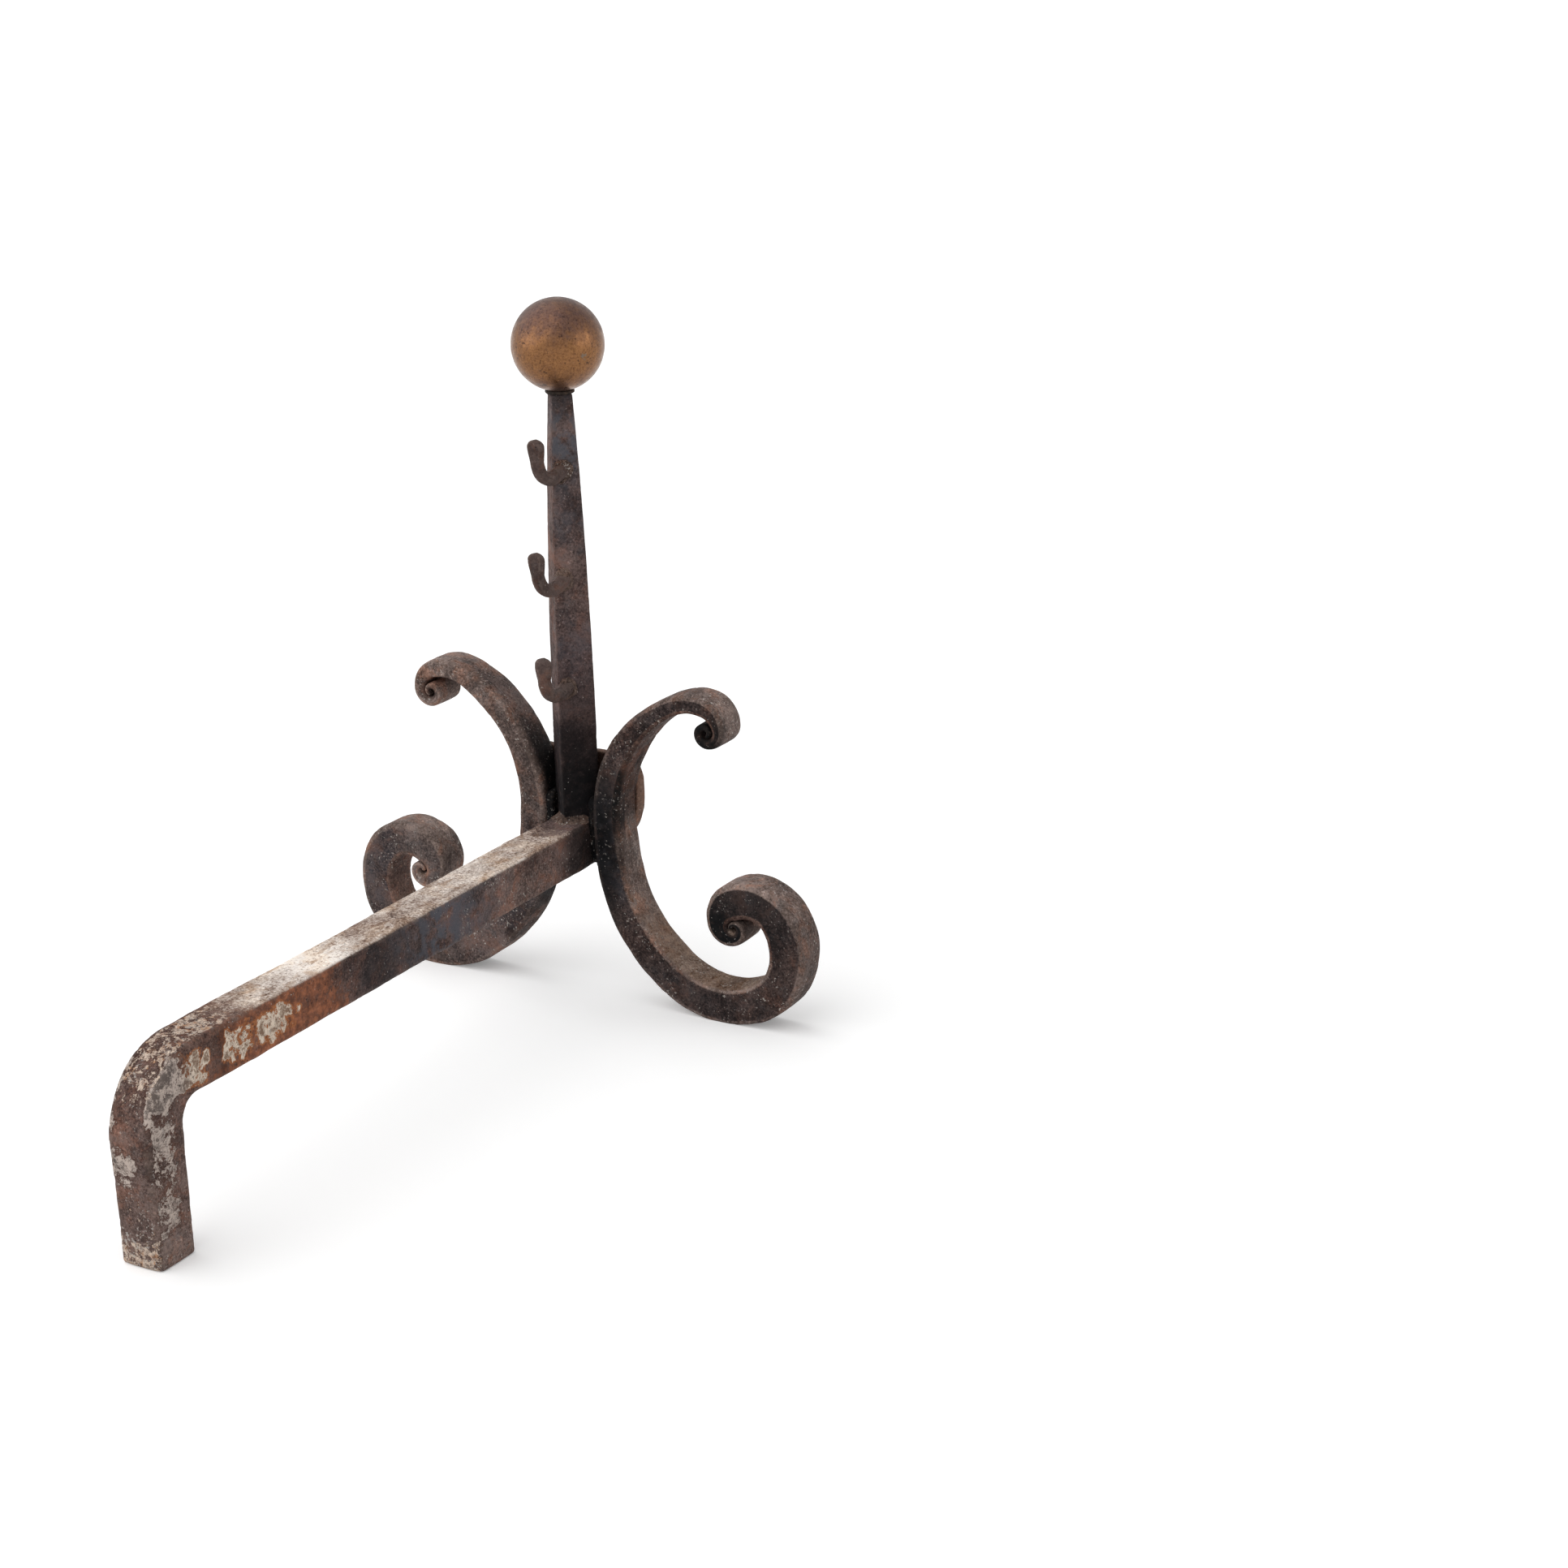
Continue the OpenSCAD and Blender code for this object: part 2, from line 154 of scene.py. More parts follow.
def put_piece(name, points, faces, marks, node, slot):
    """Makes a piece in a solid's place from points in mm, index arrays of triangles and quads, and
    named marks: one value each, or one per point. The sum of the tetrahedra over its triangles
    tells whether its faces look outwards."""
    fans = np.concatenate([f[:, [0, i, i + 1]] for f in faces for i in range(1, f.shape[1] - 1)])
    a, b, c = (points[fans[:, k]] for k in range(3))
    if np.sum(a * np.cross(b, c)) < 0:
        faces = [f[:, ::-1] for f in faces]
    mesh = bpy.data.meshes.new(name)
    mesh.vertices.add(len(points))
    mesh.vertices.foreach_set("co", (points / METRE).astype(np.float32).ravel())
    loops = np.concatenate([f.ravel() for f in faces])
    sizes = np.concatenate([np.full(len(f), f.shape[1]) for f in faces])
    mesh.loops.add(len(loops))
    mesh.loops.foreach_set("vertex_index", loops.astype(np.int32))
    mesh.polygons.add(len(sizes))
    mesh.polygons.foreach_set("loop_start", (np.cumsum(sizes) - sizes).astype(np.int32))
    mesh.polygons.foreach_set("use_smooth", np.ones(len(sizes), bool))
    mesh.update(calc_edges=True)
    mesh.validate()
    for label, values in marks.items():
        attribute = mesh.attributes.new(label, "FLOAT", "POINT")
        per_point = np.broadcast_to(values, len(points))
        attribute.data.foreach_set("value", per_point.astype(np.float32))
    piece = bpy.data.objects.new(name, mesh)
    bpy.context.scene.collection.objects.link(piece)
    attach(piece, "root")
    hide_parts(node)
    mesh.materials.append(finishes[slot])
    return piece


def skin(rings):
    """Points and faces of rings that close round: each ring joins the next by quads, and a point at
    the middle of the first and of the last ring closes the ends by triangles."""
    count, around = rings.shape[:2]
    index = np.arange(count * around).reshape(count, around)
    here, turned = index, np.roll(index, -1, axis=1)
    quads = np.stack([here[:-1], turned[:-1], turned[1:], here[1:]], axis=-1).reshape(-1, 4)
    start, end = count * around, count * around + 1
    first = np.stack([np.full(around, start), turned[0], here[0]], axis=-1)
    last = np.stack([np.full(around, end), here[-1], turned[-1]], axis=-1)
    points = np.concatenate([rings.reshape(-1, 3), rings[:1].mean(axis=1), rings[-1:].mean(axis=1)])
    return points, [np.concatenate([first, last]), quads]


def with_ends(values, rings=None):
    """A value per ring point, with the means of the first and last ring for the closing points.
    Values per ring or per angle are spread over the rings first."""
    if rings is not None:
        values = np.broadcast_to(values, rings.shape[:2])
    return np.concatenate([values.ravel(), [values[0].mean(), values[-1].mean()]])


def section_plan(across, deep, bend=5):
    """The points round a bar's section as shares of its flats (from -1 to 1 in both directions) and
    the angle of the surface there: four flats, and between them four quarter circles."""
    turn = np.linspace(0, np.pi / 2, bend)
    plan = []
    for side, count in enumerate((deep, across, deep, across)):
        run = np.linspace(-1, 1, count + 1)[1:-1]
        flat = np.stack([np.ones_like(run), run, np.zeros_like(run)], axis=1)
        corner = np.stack([np.ones(bend), np.ones(bend), turn], axis=1)
        for rows in (flat, corner):
            c, s = np.cos(side * np.pi / 2).round(), np.sin(side * np.pi / 2).round()
            plan.append(np.stack([c * rows[:, 0] - s * rows[:, 1],
                                  s * rows[:, 0] + c * rows[:, 1],
                                  rows[:, 2] + side * np.pi / 2], axis=1))
    return np.concatenate(plan)


def sweep(middle, out, axis, thick, deep, corner, plan, crown=0.25):
    """A rounded bar along a path. A point is the path's point, plus its share of the flat and the
    corner's circle along out (the thickness) and along axis (the depth), plus a crown that rises
    to the middle of each flat. The thickness, depth and corner radius are one number or one per
    ring. Returns the points, their normals and their distance from an edge."""
    share_t, share_d, angle = plan.T
    thick, deep, c = (np.broadcast_to(v, len(middle))[:, None] for v in (thick, deep, corner))
    half_t, half_d = thick / 2 - c, deep / 2 - c
    cos, sin = np.cos(angle), np.sin(angle)
    rise = crown * (1 - np.minimum(np.abs(share_t), np.abs(share_d)) ** 2)
    along_t = share_t * half_t + (c + rise) * cos
    along_d = share_d * half_d + (c + rise) * sin
    normal = cos[None, :, None] * out[:, None] + sin[None, :, None] * axis
    points = middle[:, None] + along_t[..., None] * out[:, None] + along_d[..., None] * axis
    return points, normal, half_t * (1 - np.abs(share_t)) + half_d * (1 - np.abs(share_d))


def edge_mark(from_edge, width=2.4):
    """1 on an edge, falling to 0 away from it by exp(-(distance / width)^2)."""
    return np.exp(-((from_edge / width) ** 2))


def rounded_end(run, length, radius):
    """How much a section shrinks near the ends of a run: radius - sqrt(radius^2 - depth^2)."""
    depth = np.clip(radius - np.minimum(run, length - run), 0, radius)
    return radius - np.sqrt(np.maximum(radius ** 2 - depth ** 2, 0))


def end_steps(length, radius, step):
    """Places along a run: close together inside both rounded ends, a step apart between them."""
    close = radius * (1 - np.cos(np.linspace(0, np.pi / 2, 6)))
    middle = np.linspace(radius, length - radius, max(2, int((length - 2 * radius) / step)))
    return np.concatenate([close[:-1], middle, length - close[-2::-1]])


def angles(count):
    """Evenly spaced angles of a full turn."""
    return 2 * np.pi * np.arange(count) / count


def shell_of(outline, radius_share, height, axes, centre, around=96):
    """Rings of a turned piece with an outline: at the angle a, a ring's point lies its share of
    outline(a) from the axis, at its height along the axis."""
    angle = angles(around)
    radius = radius_share[:, None] * outline(angle)[None]
    u, v, w = axes
    return (centre + (radius * np.cos(angle))[..., None] * u
            + (radius * np.sin(angle))[..., None] * v + height[:, None, None] * w)


def sphere_grid(tilt, around):
    """Unit vectors at some angles from the Z axis and evenly spaced ones around it: sin(tilt) cos(a),
    sin(tilt) sin(a), cos(tilt)."""
    angle, tilt = angles(around), tilt[:, None]
    return np.stack([np.sin(tilt) * np.cos(angle), np.sin(tilt) * np.sin(angle),
                     np.cos(tilt) * np.ones_like(angle)], axis=-1)


# ---- Shader nodes ----


class Nodes:
    """Puts nodes in one tree. A socket is given a number, a colour or another node's output."""

    def __init__(self, tree):
        self.tree = tree

    def node(self, kind, sockets=None, **settings):
        made = self.tree.nodes.new("ShaderNode" + kind)
        for key, value in settings.items():
            setattr(made, key, value)
        for key, value in (sockets or {}).items():
            if isinstance(value, bpy.types.NodeSocket):
                self.tree.links.new(value, made.inputs[key])
            else:
                made.inputs[key].default_value = value
        return made

    def noise(self, place, size, detail=4.0, rough=0.55, warp=0.0):
        """Noise whose features are about size millimetres across."""
        return self.node("TexNoise", {"Vector": place, "Scale": 1 / size, "Detail": detail,
                                      "Roughness": rough, "Distortion": warp}).outputs[0]

    def cells(self, place, size):
        """Distance to the nearest scattered point, in cells of that size."""
        return self.node("TexVoronoi", {"Vector": place, "Scale": 1 / size}).outputs["Distance"]

    def math(self, how, *values):
        return self.node("Math", dict(enumerate(values)), operation=how).outputs[0]

    def add(self, *values):
        total = values[0]
        for value in values[1:]:
            total = self.math("ADD", total, value)
        return total

    def times(self, *values):
        total = values[0]
        for value in values[1:]:
            total = self.math("MULTIPLY", total, value)
        return total

    def ramp(self, value, low, high, start=0.0, end=1.0):
        """Eased from start at low to end at high."""
        return self.node("MapRange", {"Value": value, "From Min": low, "From Max": high,
                                      "To Min": start, "To Max": end},
                         interpolation_type="SMOOTHSTEP").outputs[0]

    def blend(self, share, first, second):
        """A mix of two colours by a share."""
        return self.node("Mix", {0: share, 6: first, 7: second}, data_type="RGBA").outputs[2]

    def tint(self, share, tone, r, g, b):
        """A colour multiplied by another one, by a share."""
        return self.node("Mix", {0: share, 6: tone, 7: (r, g, b, 1.0)}, data_type="RGBA",
                         blend_type="MULTIPLY").outputs[2]

    def stretch(self, place, x, y, z):
        return self.node("Mapping", {"Vector": place, "Scale": (x, y, z)}).outputs[0]

    def grown(self, place, scale):
        return self.node("VectorMath", {0: place, "Scale": scale}, operation="SCALE").outputs[0]

    def mark(self, label):
        """A value that the piece's mesh carries."""
        return self.node("Attribute", attribute_name=label).outputs["Fac"]

    def use(self, group, sockets):
        return self.node("Group", sockets, node_tree=group).outputs


def colour(r, g, b):
    return (r, g, b, 1.0)


def bare_nodes(owner):
    """The emptied node tree of a material or world."""
    owner.use_nodes = True
    owner.node_tree.nodes.clear()
    return Nodes(owner.node_tree)


def effect(name, inputs, outputs, build):
    """A node group with named sockets; build(nodes, inputs) gives a value for each output."""
    tree = bpy.data.node_groups.new(name, "ShaderNodeTree")
    for way, sockets in (("INPUT", inputs), ("OUTPUT", outputs)):
        for label, kind in sockets.items():
            tree.interface.new_socket(label, in_out=way, socket_type="NodeSocket" + kind)
    nodes = Nodes(tree)
    given = tree.nodes.new("NodeGroupInput").outputs
    taken = tree.nodes.new("NodeGroupOutput").inputs
    for label, value in build(nodes, given).items():
        tree.links.new(value, taken[label])
    return tree


def build_scale(n, given):
    """Forge scale. Clouds, patches and grains of noise add up to a level that picks a colour between
    the dark and the light one; two more noises turn it warm in some places and cool in others, and
    the highest grains are pale. Grains and patches give the height."""
    place = given["Place"]
    cloud = n.noise(place, 38, 8, 0.66, 0.3)
    patch = n.noise(place, 7, 6, 0.76)
    grain = n.noise(place, 1.6, 4, 0.8)
    level = n.add(n.times(cloud, 1.1), n.times(patch, 0.45), n.times(grain, given["Grain"], 1.15))
    middle = n.add(0.775, n.times(given["Grain"], 0.575))
    share = n.ramp(n.math("SUBTRACT", level, middle), -0.22, 0.25)
    tone = n.blend(share, given["Dark"], given["Light"])
    warm = n.ramp(n.noise(place, 19, 8, 0.72, 0.5), 0.48, 0.62)
    tone = n.tint(n.times(warm, given["Warmth"]), tone, 1.30, 0.90, 0.70)
    cold = n.ramp(n.noise(n.stretch(place, 1.3, 0.8, 1.1), 14, 7, 0.68), 0.52, 0.68)
    tone = n.tint(n.times(cold, n.ramp(given["Warmth"], 0.3, 0.9, 1.0, 0.15)), tone, 0.70, 0.88, 0.99)
    salt = n.ramp(n.add(grain, n.times(patch, 0.6)), 0.93, 1.04)
    tone = n.tint(salt, tone, 1.9, 2.0, 2.05)
    return {"Colour": tone, "Height": n.add(n.times(grain, 0.9), n.times(patch, 0.6))}


def build_bare_edge(n, given):
    """Rubbed edges: the edge mark times a ragged noise, past a threshold."""
    rub = n.noise(given["Place"], 6, 5, 0.65)
    reach = n.times(given["Edge"], n.add(rub, given["Wear"]))
    return {"Mask": n.ramp(reach, 0.55, 1.05)}


def build_flecks(n, given):
    """Pale mineral grains: the peaks of a fine noise, crowded where a broad noise is high, and the
    rarer peaks of a coarser one."""
    place = given["Place"]
    crowd = n.noise(place, 17, 4, 0.65)
    more = n.times(given["Amount"], 0.05)
    grain = n.add(n.noise(place, 1.8, 2, 0.5), n.times(crowd, 0.3), more, 0.02)
    lump = n.add(n.noise(place, 3.1, 4, 0.62), n.times(crowd, 0.3), more)
    dots = n.times(n.ramp(grain, 0.93, 0.965), n.ramp(crowd, 0.38, 0.62, 0.3, 1.0))
    return {"Mask": n.math("MAXIMUM", dots, n.ramp(lump, 0.94, 0.975))}


def build_rust(n, given):
    """Rust blooms: clouds lifted by the zone's mark, cut ragged by a finer noise; their colour goes
    from dark red-brown to orange."""
    place = given["Place"]
    cloud = n.noise(place, 17, 5, 0.62, 0.6)
    fine = n.noise(place, 2.2, 4, 0.7)
    level = n.add(cloud, n.times(fine, 0.35), n.times(given["Zone"], 0.42))
    mask = n.ramp(level, 0.86, 1.08)
    tint = n.ramp(n.noise(place, 8, 7, 0.72), 0.36, 0.68)
    return {"Mask": mask, "Colour": n.blend(tint, given["Deep"], given["Bright"]), "Height": fine}


def build_flakes(n, given):
    """A pale skin that has flaked off to ragged islands: a rough noise past a threshold is the
    island, torn by a finer one, and the band just outside it is its rusty rim. Inside, fine
    streaks, a broad noise, the ridges of a warped one and the island's margin are pale; the rest
    shows the grey."""
    place = given["Place"]
    island = n.noise(place, 14, 9, 0.72, 0.4)
    tear = n.noise(place, 2.6, 6, 0.78)
    level = n.add(island, n.times(tear, 0.34), n.times(given["Zone"], 0.3))
    pale = n.ramp(level, 0.95, 0.995)
    rim = n.math("SUBTRACT", n.ramp(level, 0.86, 0.95), pale)
    ridge = n.math("ABSOLUTE", n.math("SUBTRACT", n.noise(place, 4.2, 5, 0.68, 0.8), 0.5))
    streak = n.noise(place, 1.4, 5, 0.8)
    tone = n.add(n.times(streak, 0.6), n.times(ridge, -1.0), n.noise(place, 9, 6, 0.7),
                 n.ramp(level, 0.99, 1.12, 0.06, -0.10))
    tint = n.blend(n.ramp(tone, 0.58, 0.86), given["Grey"], given["Pale"])
    return {"Mask": pale, "Rim": n.math("MAXIMUM", rim, 0), "Colour": tint}


def build_ash(n, given):
    """Ash and dust that settle where the surface looks up, thinned by a cloud and by fine specks.
    The colour goes from thin to thick, with warm and stained patches, dark bare grit and pale
    grains."""
    place = given["Place"]
    up = n.node("SeparateXYZ", {0: n.node("NewGeometry").outputs["Normal"]}).outputs[2]
    lie = n.ramp(up, 0.25, 0.95)
    cloud = n.noise(n.stretch(place, 1, 0.45, 1), 13, 6, 0.66)
    speck = n.noise(place, 1.7, 4, 0.8)
    level = n.add(n.times(cloud, 0.9), n.times(speck, 1.15), -0.175, given["Amount"])
    mask = n.times(lie, n.ramp(level, 1.02, 1.26))
    thick = n.ramp(level, 1.10, 1.70)
    tint = n.blend(thick, given["Thin"], given["Thick"])
    warm = n.ramp(n.noise(place, 21, 5, 0.65), 0.45, 0.62)
    tint = n.tint(warm, tint, 1.0, 0.95, 0.89)
    grit = n.noise(place, 1.9, 4, 0.7)
    bare = n.ramp(n.add(grit, n.times(n.noise(place, 7, 6, 0.75), 0.7)), 0.80, 0.68)
    tint = n.tint(bare, tint, 0.42, 0.34, 0.30)
    stain = n.ramp(n.noise(n.stretch(place, 1, 0.55, 1), 15, 8, 0.74, 0.5), 0.49, 0.62)
    tint = n.tint(stain, tint, 0.70, 0.60, 0.52)
    return {"Mask": mask, "Colour": n.tint(n.ramp(grit, 0.57, 0.66), tint, 1.3, 1.34, 1.38)}


def build_pits(n, given):
    """Corrosion pits: the middles of scattered cells, where a fine noise is high."""
    deep = n.ramp(n.cells(given["Place"], 3.4), 0.30, 0.10)
    rough = n.noise(given["Place"], 3.0, 5, 0.7)
    few = n.ramp(rough, 0.50, 0.62)
    return {"Mask": n.times(deep, few)}


PLACE = {"Place": "Vector"}
SCALE = effect("forge scale", {**PLACE, "Dark": "Color", "Light": "Color", "Grain": "Float",
                               "Warmth": "Float"},
               {"Colour": "Color", "Height": "Float"}, build_scale)
BARE_EDGE = effect("rubbed edge", {**PLACE, "Edge": "Float", "Wear": "Float"},
                   {"Mask": "Float"}, build_bare_edge)
FLECKS = effect("pale flecks", {**PLACE, "Amount": "Float"}, {"Mask": "Float"}, build_flecks)
RUST = effect("rust bloom", {**PLACE, "Zone": "Float", "Deep": "Color", "Bright": "Color"},
              {"Mask": "Float", "Colour": "Color", "Height": "Float"}, build_rust)
FLAKES = effect("flaked skin", {**PLACE, "Zone": "Float", "Grey": "Color", "Pale": "Color"},
                {"Mask": "Float", "Rim": "Float", "Colour": "Color"}, build_flakes)
ASH = effect("settled ash", {**PLACE, "Amount": "Float", "Thin": "Color", "Thick": "Color"},
             {"Mask": "Float", "Colour": "Color"}, build_ash)
PITS = effect("corrosion pits", PLACE, {"Mask": "Float"}, build_pits)


def finish_of(slot):
    """A material, its nodes and the object's place in millimetres."""
    material = bpy.data.materials.new(slot)
    n = bare_nodes(material)
    return material, n, n.grown(n.node("TexCoord").outputs["Object"], METRE)


def surface(n, tone, rough, height, bump, deep, constants):
    """Ends a material: the Principled shader with its colour, roughness, relief and constants."""
    relief = n.node("Bump", {"Height": height, "Strength": bump, "Distance": deep / METRE})
    shader = n.node("BsdfPrincipled", {"Base Color": tone, "Roughness": rough,
                                       "Normal": relief.outputs[0], **constants})
    n.node("OutputMaterial", {"Surface": shader.outputs[0]})


# Dark and light colour of the brown oxide and of the film of dust
OXIDE = colour(0.045, 0.022, 0.018), colour(0.22, 0.132, 0.104)
DUST = colour(0.085, 0.060, 0.052), colour(0.34, 0.255, 0.222)
COOL_BLOOM = colour(0.088, 0.091, 0.108)
# Near-black of soot, also laid as painted shade in the curls' inner turns, at the upright's foot, by the
# ring mark's rim and on the junction fills
SOOT_AND_SHADE = colour(0.0035, 0.0035, 0.004)
PIT = colour(0.008, 0.0065, 0.006)
FLECK = colour(0.46, 0.42, 0.385)
# The flaked skin on the leg and the creamier one on the bar
SKIN_GREY = colour(0.13, 0.105, 0.093), colour(0.24, 0.155, 0.105)
SKIN_PALE = colour(0.59, 0.49, 0.43), colour(0.84, 0.71, 0.58)
SKIN_RIM = colour(0.065, 0.030, 0.022), colour(0.46, 0.165, 0.055)
CRUST_GREY, CRUST_PALE = colour(0.22, 0.155, 0.125), colour(0.72, 0.58, 0.47)
CRUST_RIM = colour(0.075, 0.040, 0.030)


def iron(slot, dark, light, edge, wear=0.35, grain=0.8, warmth=0.6, flecks=1.0, ash=0.0, rust=0.0,
         deep=(0.070, 0.034, 0.023), bright=(0.20, 0.092, 0.048), flaked=False, bump=0.6,
         rough=0.66, thin=(0.10, 0.070, 0.055), thick=(0.34, 0.25, 0.20)):
    """Old forged iron: scale, then a cool bloom, brown oxide, a film of dust, rust, soot with painted
    shade, rubbed edges, flaked skin, ash, pits and pale flecks laid over each other. Marks on the mesh for
    cool, brown, dust, rust, soot and painted shade, edge, flake, ash and salt say where each one lies;
    crust is for crumbs of the flaked skin, and cream makes that skin creamier. A mark that a mesh lacks is
    0."""
    material, n, place = finish_of(slot)
    base, height = n.use(SCALE, {"Place": place, "Dark": colour(*dark), "Light": colour(*light),
                                 "Grain": grain, "Warmth": warmth})
    cool = n.times(n.mark("cool"), n.ramp(n.noise(place, 9, 4, 0.6), 0.36, 0.6))
    tone = n.blend(cool, base, COOL_BLOOM)
    for label, (low, high), heat in (("brown", OXIDE, 0.8), ("dust", DUST, 0.7)):
        layer = n.use(SCALE, {"Place": place, "Dark": low, "Light": high, "Grain": 1.0,
                              "Warmth": heat})[0]
        tone = n.blend(n.mark(label), tone, layer)
    zone = n.add(n.mark("rust"), rust)
    rusty, rust_tint, rust_height = n.use(RUST, {"Place": place, "Zone": zone,
                                                 "Deep": colour(*deep), "Bright": colour(*bright)})
    tone = n.blend(rusty, tone, rust_tint)
    # Near-black where the mesh's soot mark lies: real soot, and painted shade where the mark stands for it
    soot_and_shade = n.times(n.mark("soot_and_shade"), n.ramp(n.noise(place, 5, 5, 0.65), 0.2, 0.55, 0.68, 1.0))
    tone = n.blend(soot_and_shade, tone, SOOT_AND_SHADE)
    rubbed = n.use(BARE_EDGE, {"Place": place, "Edge": n.mark("edge"), "Wear": wear})[0]
    tone = n.blend(n.times(rubbed, n.ramp(soot_and_shade, 0.0, 1.0, 0.6, 0.15)), tone, colour(*edge))
    if flaked:
        grey, light_skin, rim_tint = (n.blend(n.mark("cream"), *pair)
                                      for pair in (SKIN_GREY, SKIN_PALE, SKIN_RIM))
        pale, rim, pale_tint = n.use(FLAKES, {"Place": place, "Zone": n.mark("flake"),
                                              "Grey": grey, "Pale": light_skin})
        there = n.ramp(n.mark("flake"), 0.05, 0.3)
        tone = n.blend(n.times(rim, there, 0.75), tone, rim_tint)
        tone = n.blend(n.times(pale, there, 0.92), tone, pale_tint)
        height = n.add(height, n.times(pale, there, 0.7))
        crumb, crumb_rim, crumb_tint = n.use(FLAKES, {
            "Place": n.grown(place, 2.6), "Zone": n.mark("crust"), "Grey": CRUST_GREY,
            "Pale": CRUST_PALE})
        there = n.ramp(n.mark("crust"), 0.05, 0.3)
        tone = n.blend(n.times(crumb_rim, there, 0.6), tone, CRUST_RIM)
        burnt = n.ramp(n.noise(place, 6, 5, 0.7), 0.5, 0.62)
        crumb_tint = n.tint(burnt, crumb_tint, 0.72, 0.50, 0.36)
        tone = n.blend(n.times(crumb, there, 0.9), tone, crumb_tint)
    dust, dust_tint = n.use(ASH, {"Place": place, "Amount": n.add(n.mark("ash"), ash),
                                  "Thin": colour(*thin), "Thick": colour(*thick)})
    tone = n.blend(dust, tone, dust_tint)
    pits = n.use(PITS, {"Place": place})[0]
    tone = n.blend(n.times(pits, 0.75), tone, PIT)
    if flecks:
        speck = n.use(FLECKS, {"Place": place, "Amount": n.add(n.mark("salt"), flecks)})[0]
        tone = n.blend(n.times(speck, n.ramp(soot_and_shade, 0.1, 0.8, 0.75, 0.45)), tone, FLECK)
    height = n.add(height, n.times(rusty, rust_height, 0.5), n.times(pits, -0.9))
    dull = n.add(n.ramp(n.noise(place, 6, 4), 0.3, 0.7, rough - 0.12, rough + 0.12),
                 n.times(dust, 0.25))
    surface(n, tone, dull, height, bump, 0.7, {"Specular IOR Level": 0.08})
    return material


def brass(slot):
    """Aged brass: golden where it is rubbed, mauve brown where it has tarnished, with dark dots, short
    scratches and a few cool spots. A mark on the mesh says where it is dark and dull: tarnish on the top,
    and painted shade in a band below the middle. The mark seat makes it pale beside its seat, a painted
    reflection."""
    material, n, place = finish_of(slot)
    cloud = n.noise(place, 26, 4, 0.6)
    patch = n.noise(place, 4.5, 6, 0.72)
    # The mesh's mark adds tarnish on the top and painted shade in a band below the middle
    level = n.add(n.times(cloud, 0.4), n.times(patch, 0.6), n.times(n.mark("tarnish_and_shade"), 0.45))
    tarnish_and_shade = n.ramp(level, 0.42, 0.95)
    tone = n.blend(tarnish_and_shade, colour(0.240, 0.113, 0.046), colour(0.100, 0.056, 0.046))
    fine = n.noise(place, 1.5, 5, 0.8)
    tone = n.tint(n.ramp(fine, 0.46, 0.66), tone, 0.55, 0.50, 0.50)
    tone = n.tint(n.ramp(fine, 0.44, 0.30), tone, 1.35, 1.4, 1.5)
    crowd = n.noise(place, 13, 3, 0.6)
    dot = n.ramp(n.add(n.noise(place, 2.4, 2, 0.5), n.times(crowd, 0.5)), 0.905, 0.955)
    wander = n.math("ABSOLUTE", n.math("SUBTRACT", n.noise(place, 9, 3, 0.6, 0.6), 0.5))
    scratch = n.times(n.ramp(wander, 0.016, 0.006), n.ramp(crowd, 0.54, 0.62))
    marks = n.math("MAXIMUM", dot, n.times(scratch, 0.8))
    tone = n.blend(n.times(marks, 0.7), tone, colour(0.034, 0.017, 0.012))
    cool = n.ramp(n.noise(place, 8, 3, 0.5), 0.68, 0.76)
    tone = n.blend(n.times(cool, 0.6), tone, colour(0.12, 0.125, 0.115))
    # Pale beside the seat: a painted reflection on the ball's lowest part
    tone = n.blend(n.mark("seat"), tone, colour(0.27, 0.18, 0.15))
    dull = n.ramp(n.add(patch, n.times(tarnish_and_shade, 0.3)), 0.3, 0.9, 0.24, 0.46)
    height = n.add(n.times(fine, 0.25), n.times(patch, 0.3), n.times(marks, -1.0))
    surface(n, tone, dull, height, 0.25, 0.4, {"Metallic": 0.9})
    return material


